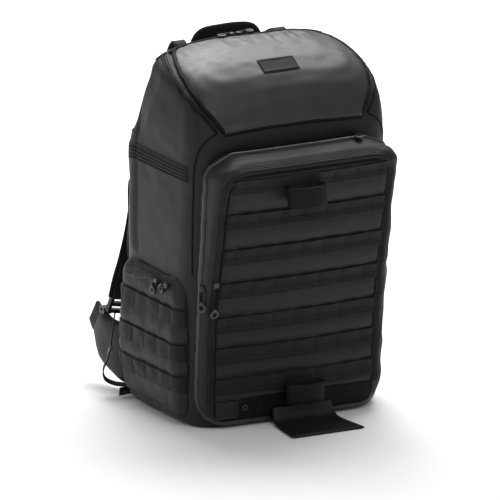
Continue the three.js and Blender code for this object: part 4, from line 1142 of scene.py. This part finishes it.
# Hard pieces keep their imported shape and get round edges
hardware = {"strap_buckle": blackPlastic, "strap_triglide": blackPlastic, "belt_buckle": darkMetal}
for name, material in hardware.items():
    for low in ("left", "right"):
        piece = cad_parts[f"{name}_{low}"]
        piece.data.materials.clear()
        piece.data.materials.append(material)
        edges = piece.modifiers.new("round", "BEVEL")
        edges.width = 0.7 * mm
        edges.segments = 3
        edges.limit_method = "ANGLE"
        edges.angle_limit = math.radians(35)
print("back made")


# The grab handle. Rows are (x, y, z): x in half lengths, y in the bag's reach back, z in rises above its feet

handle = {"half": 49, "foot": 524.3, "rise": 32, "thick": 3.2,
          "rows": [(-1, 0.8, -0.3), (-1, 0.78, 0.25), (-0.95, 0.765, 0.68), (-0.76, 0.755, 0.93),
                   (-0.3, 0.75, 0.99), (0.3, 0.75, 1), (0.76, 0.755, 0.9), (0.95, 0.765, 0.62),
                   (1, 0.78, 0.2), (1, 0.8, -0.3)]}


def handleStations():
    path = np.array([(x * handle["half"], y * bag["back"], handle["foot"] + z * handle["rise"])
                     for x, y, z in handle["rows"]])
    stations = []
    for i, p in enumerate(path):
        ahead = path[min(i + 1, len(path) - 1)] - path[max(i - 1, 0)]
        across = np.cross(ahead / np.linalg.norm(ahead), (0, -1, 0))
        stations.append((*p, *across, webbingWidth, handle["thick"]))
    return stations


addBand("grabHandle", handleStations(), webbingCloth, ["grab_handle"], "webbing")


# Two loops on the front, standing open

loops = {"upperLoop": {"node": "upper_loop", "lean": 0.22, "deep": 31},
         "lowerLoop": {"node": "lower_loop", "lean": 0.0, "deep": 30}}
loopBand = {"tall": 31, "thick": 2.2}
for name, p in loops.items():
    low, high = (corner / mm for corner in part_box(p["node"]))
    centre, half = (low + high) / 2, (high.x - low.x) / 2 - 1
    across = (0, math.sin(p["lean"]), math.cos(p["lean"]))
    stations = []
    for a in np.linspace(0, 2 * math.pi, 28, endpoint=False):
        place = (centre.x + math.cos(a) * half, centre.y + math.sin(a) * p["deep"] / 2, centre.z)
        stations.append((*place, *across, loopBand["tall"], loopBand["thick"]))
    addBand(name, stations, loopCloth, [p["node"]], "webbing", closed=True)


# The foot sleeve: two layers of cloth that drop to the floor and lie forward on it. Rows are (share of its
# length, share of its drop, share of its width, share of its mouth).

sleeve = {"x": 10.1, "width": 104, "mouth": 11, "length": 84, "back": -125.4, "hang": 28, "floor": 2.4,
          "rows": [(0, 0.9, 0.96, 1), (0.03, 0.6, 0.98, 0.85), (0.08, 0.28, 1, 0.62), (0.2, 0.06, 1.04, 0.4),
                   (0.45, 0, 1.1, 0.36), (0.75, 0, 1.16, 0.36), (1, 0, 1.2, 0.36)]}


def buildSleeve():
    stations = []
    for out, up, wide, gape in sleeve["rows"]:
        y = sleeve["back"] - sleeve["mouth"] / 2 - out * sleeve["length"]
        z = sleeve["floor"] + up * (sleeve["hang"] - sleeve["floor"])
        stations.append((sleeve["x"], y, z, 1, 0, 0, wide * sleeve["width"], gape * sleeve["mouth"]))
    ring = [(-1, 0), (-0.97, -0.6)] + [(u, -1) for u in np.linspace(-0.9, 0.9, 19)]
    ring += [(0.97, -0.6), (1, 0), (0.97, 0.6)] + [(u, 1) for u in np.linspace(0.9, -0.9, 19)]
    grid, uv = sweepBand(stations, ring=ring + [(-0.97, 0.6)])
    grid, uv = grid[1:], uv[1:]  # the mouth stays open
    x, y, z = millimetres(grid)
    lift = 2.4 * np.abs(noiseField(grid, 0.03, 51, (1, 0.6, 1)))
    lift += 1.2 * noiseField(grid, 0.012, 52, (1, 0.5, 1))
    grid[..., 2] += np.clip(lift, 0, None) * mm * ramp(z, 3.2, 6)
    grid[..., 1] -= 1.0 * mm * noiseField(grid, 0.02, 53) * ramp(z, 8, 20)
    grid[..., 2] = np.maximum(grid[..., 2], 0.3 * mm)
    return grid, uv


grid, uv = buildSleeve()
sleevePiece = addMesh("footSleeve", grid, coated, ["foot_sleeve"], wrap=True, uv=uv)
print("front pieces made")


# Floor, light and camera, in metres

studio = {"reach": 4, "floor": (0.93, 0.93, 0.93, 1), "sky": (1, 1, 1, 1), "skyStrength": 0.36}
lights = {"topLight": {"place": (0.9, 1.0, 2.7), "aim": (0.1, 0.2, 0.4), "size": (2.0, 1.6), "power": 74},
          "backLight": {"place": (0.4, 2.8, 2.6), "aim": (0.3, 2.2, 0), "size": (2.6, 2.2), "power": 80},
          "leftLight": {"place": (-2.6, 0.2, 1.6), "aim": (0, 0, 0.35), "size": (1.2, 1.2), "power": 9},
          "frontLight": {"place": (-0.6, -3.2, 2.6), "aim": (0, -0.4, 0.0), "size": (1.6, 1.0), "power": 26}}
camera = {"target": (0.0228, 0.0546, 0.2197), "distance": 20.0, "azimuth": -28.5, "elevation": 15.0,
          "lens": 953.7}


def addStudio():
    floorMesh = bpy.data.meshes.new("studioFloor")
    corners = [(x * studio["reach"], y * studio["reach"], 0) for x, y in ((-1, -1), (1, -1), (1, 1), (-1, 1))]
    floorMesh.from_pydata(corners, [], [(0, 1, 2, 3)])
    floor = bpy.data.objects.new("studioFloor", floorMesh)
    bpy.context.scene.collection.objects.link(floor)
    paint = bpy.data.materials.new("floorPaint")
    paint.use_nodes = True
    shader = paint.node_tree.nodes["Principled BSDF"]
    shader.inputs["Base Color"].default_value = studio["floor"]
    shader.inputs["Roughness"].default_value = 0.9
    shader.inputs["Specular IOR Level"].default_value = 0.1
    floorMesh.materials.append(paint)
    world = bpy.data.worlds.new("studio")
    bpy.context.scene.world = world
    world.use_nodes = True
    sky = world.node_tree.nodes["Background"]
    sky.inputs["Color"].default_value = studio["sky"]
    sky.inputs["Strength"].default_value = studio["skyStrength"]


def addSoftbox(name, place, aim, size, power):
    light = bpy.data.lights.new(name, "AREA")
    light.shape = "RECTANGLE"
    light.size, light.size_y = size
    light.energy = power
    box = bpy.data.objects.new(name, light)
    box.location = place
    box.rotation_euler = (Vector(aim) - Vector(place)).to_track_quat("-Z", "Y").to_euler()
    bpy.context.scene.collection.objects.link(box)


def addCamera():
    data = bpy.data.cameras.new("camera")
    data.lens = camera["lens"]
    data.sensor_width = 36
    data.clip_start, data.clip_end = 0.5, 100
    view = bpy.data.objects.new("camera", data)
    a, e = math.radians(camera["azimuth"]), math.radians(camera["elevation"])
    back = Vector((math.sin(a) * math.cos(e), -math.cos(a) * math.cos(e), math.sin(e)))
    view.location = Vector(camera["target"]) + back * camera["distance"]
    view.rotation_mode = "QUATERNION"
    view.rotation_quaternion = (-back).to_track_quat("-Z", "Y")
    bpy.context.scene.collection.objects.link(view)
    bpy.context.scene.camera = view


addStudio()
for name, p in lights.items():
    addSoftbox(name, **p)
addCamera()
bpy.context.scene.view_settings.view_transform = "Standard"
print("studio made")
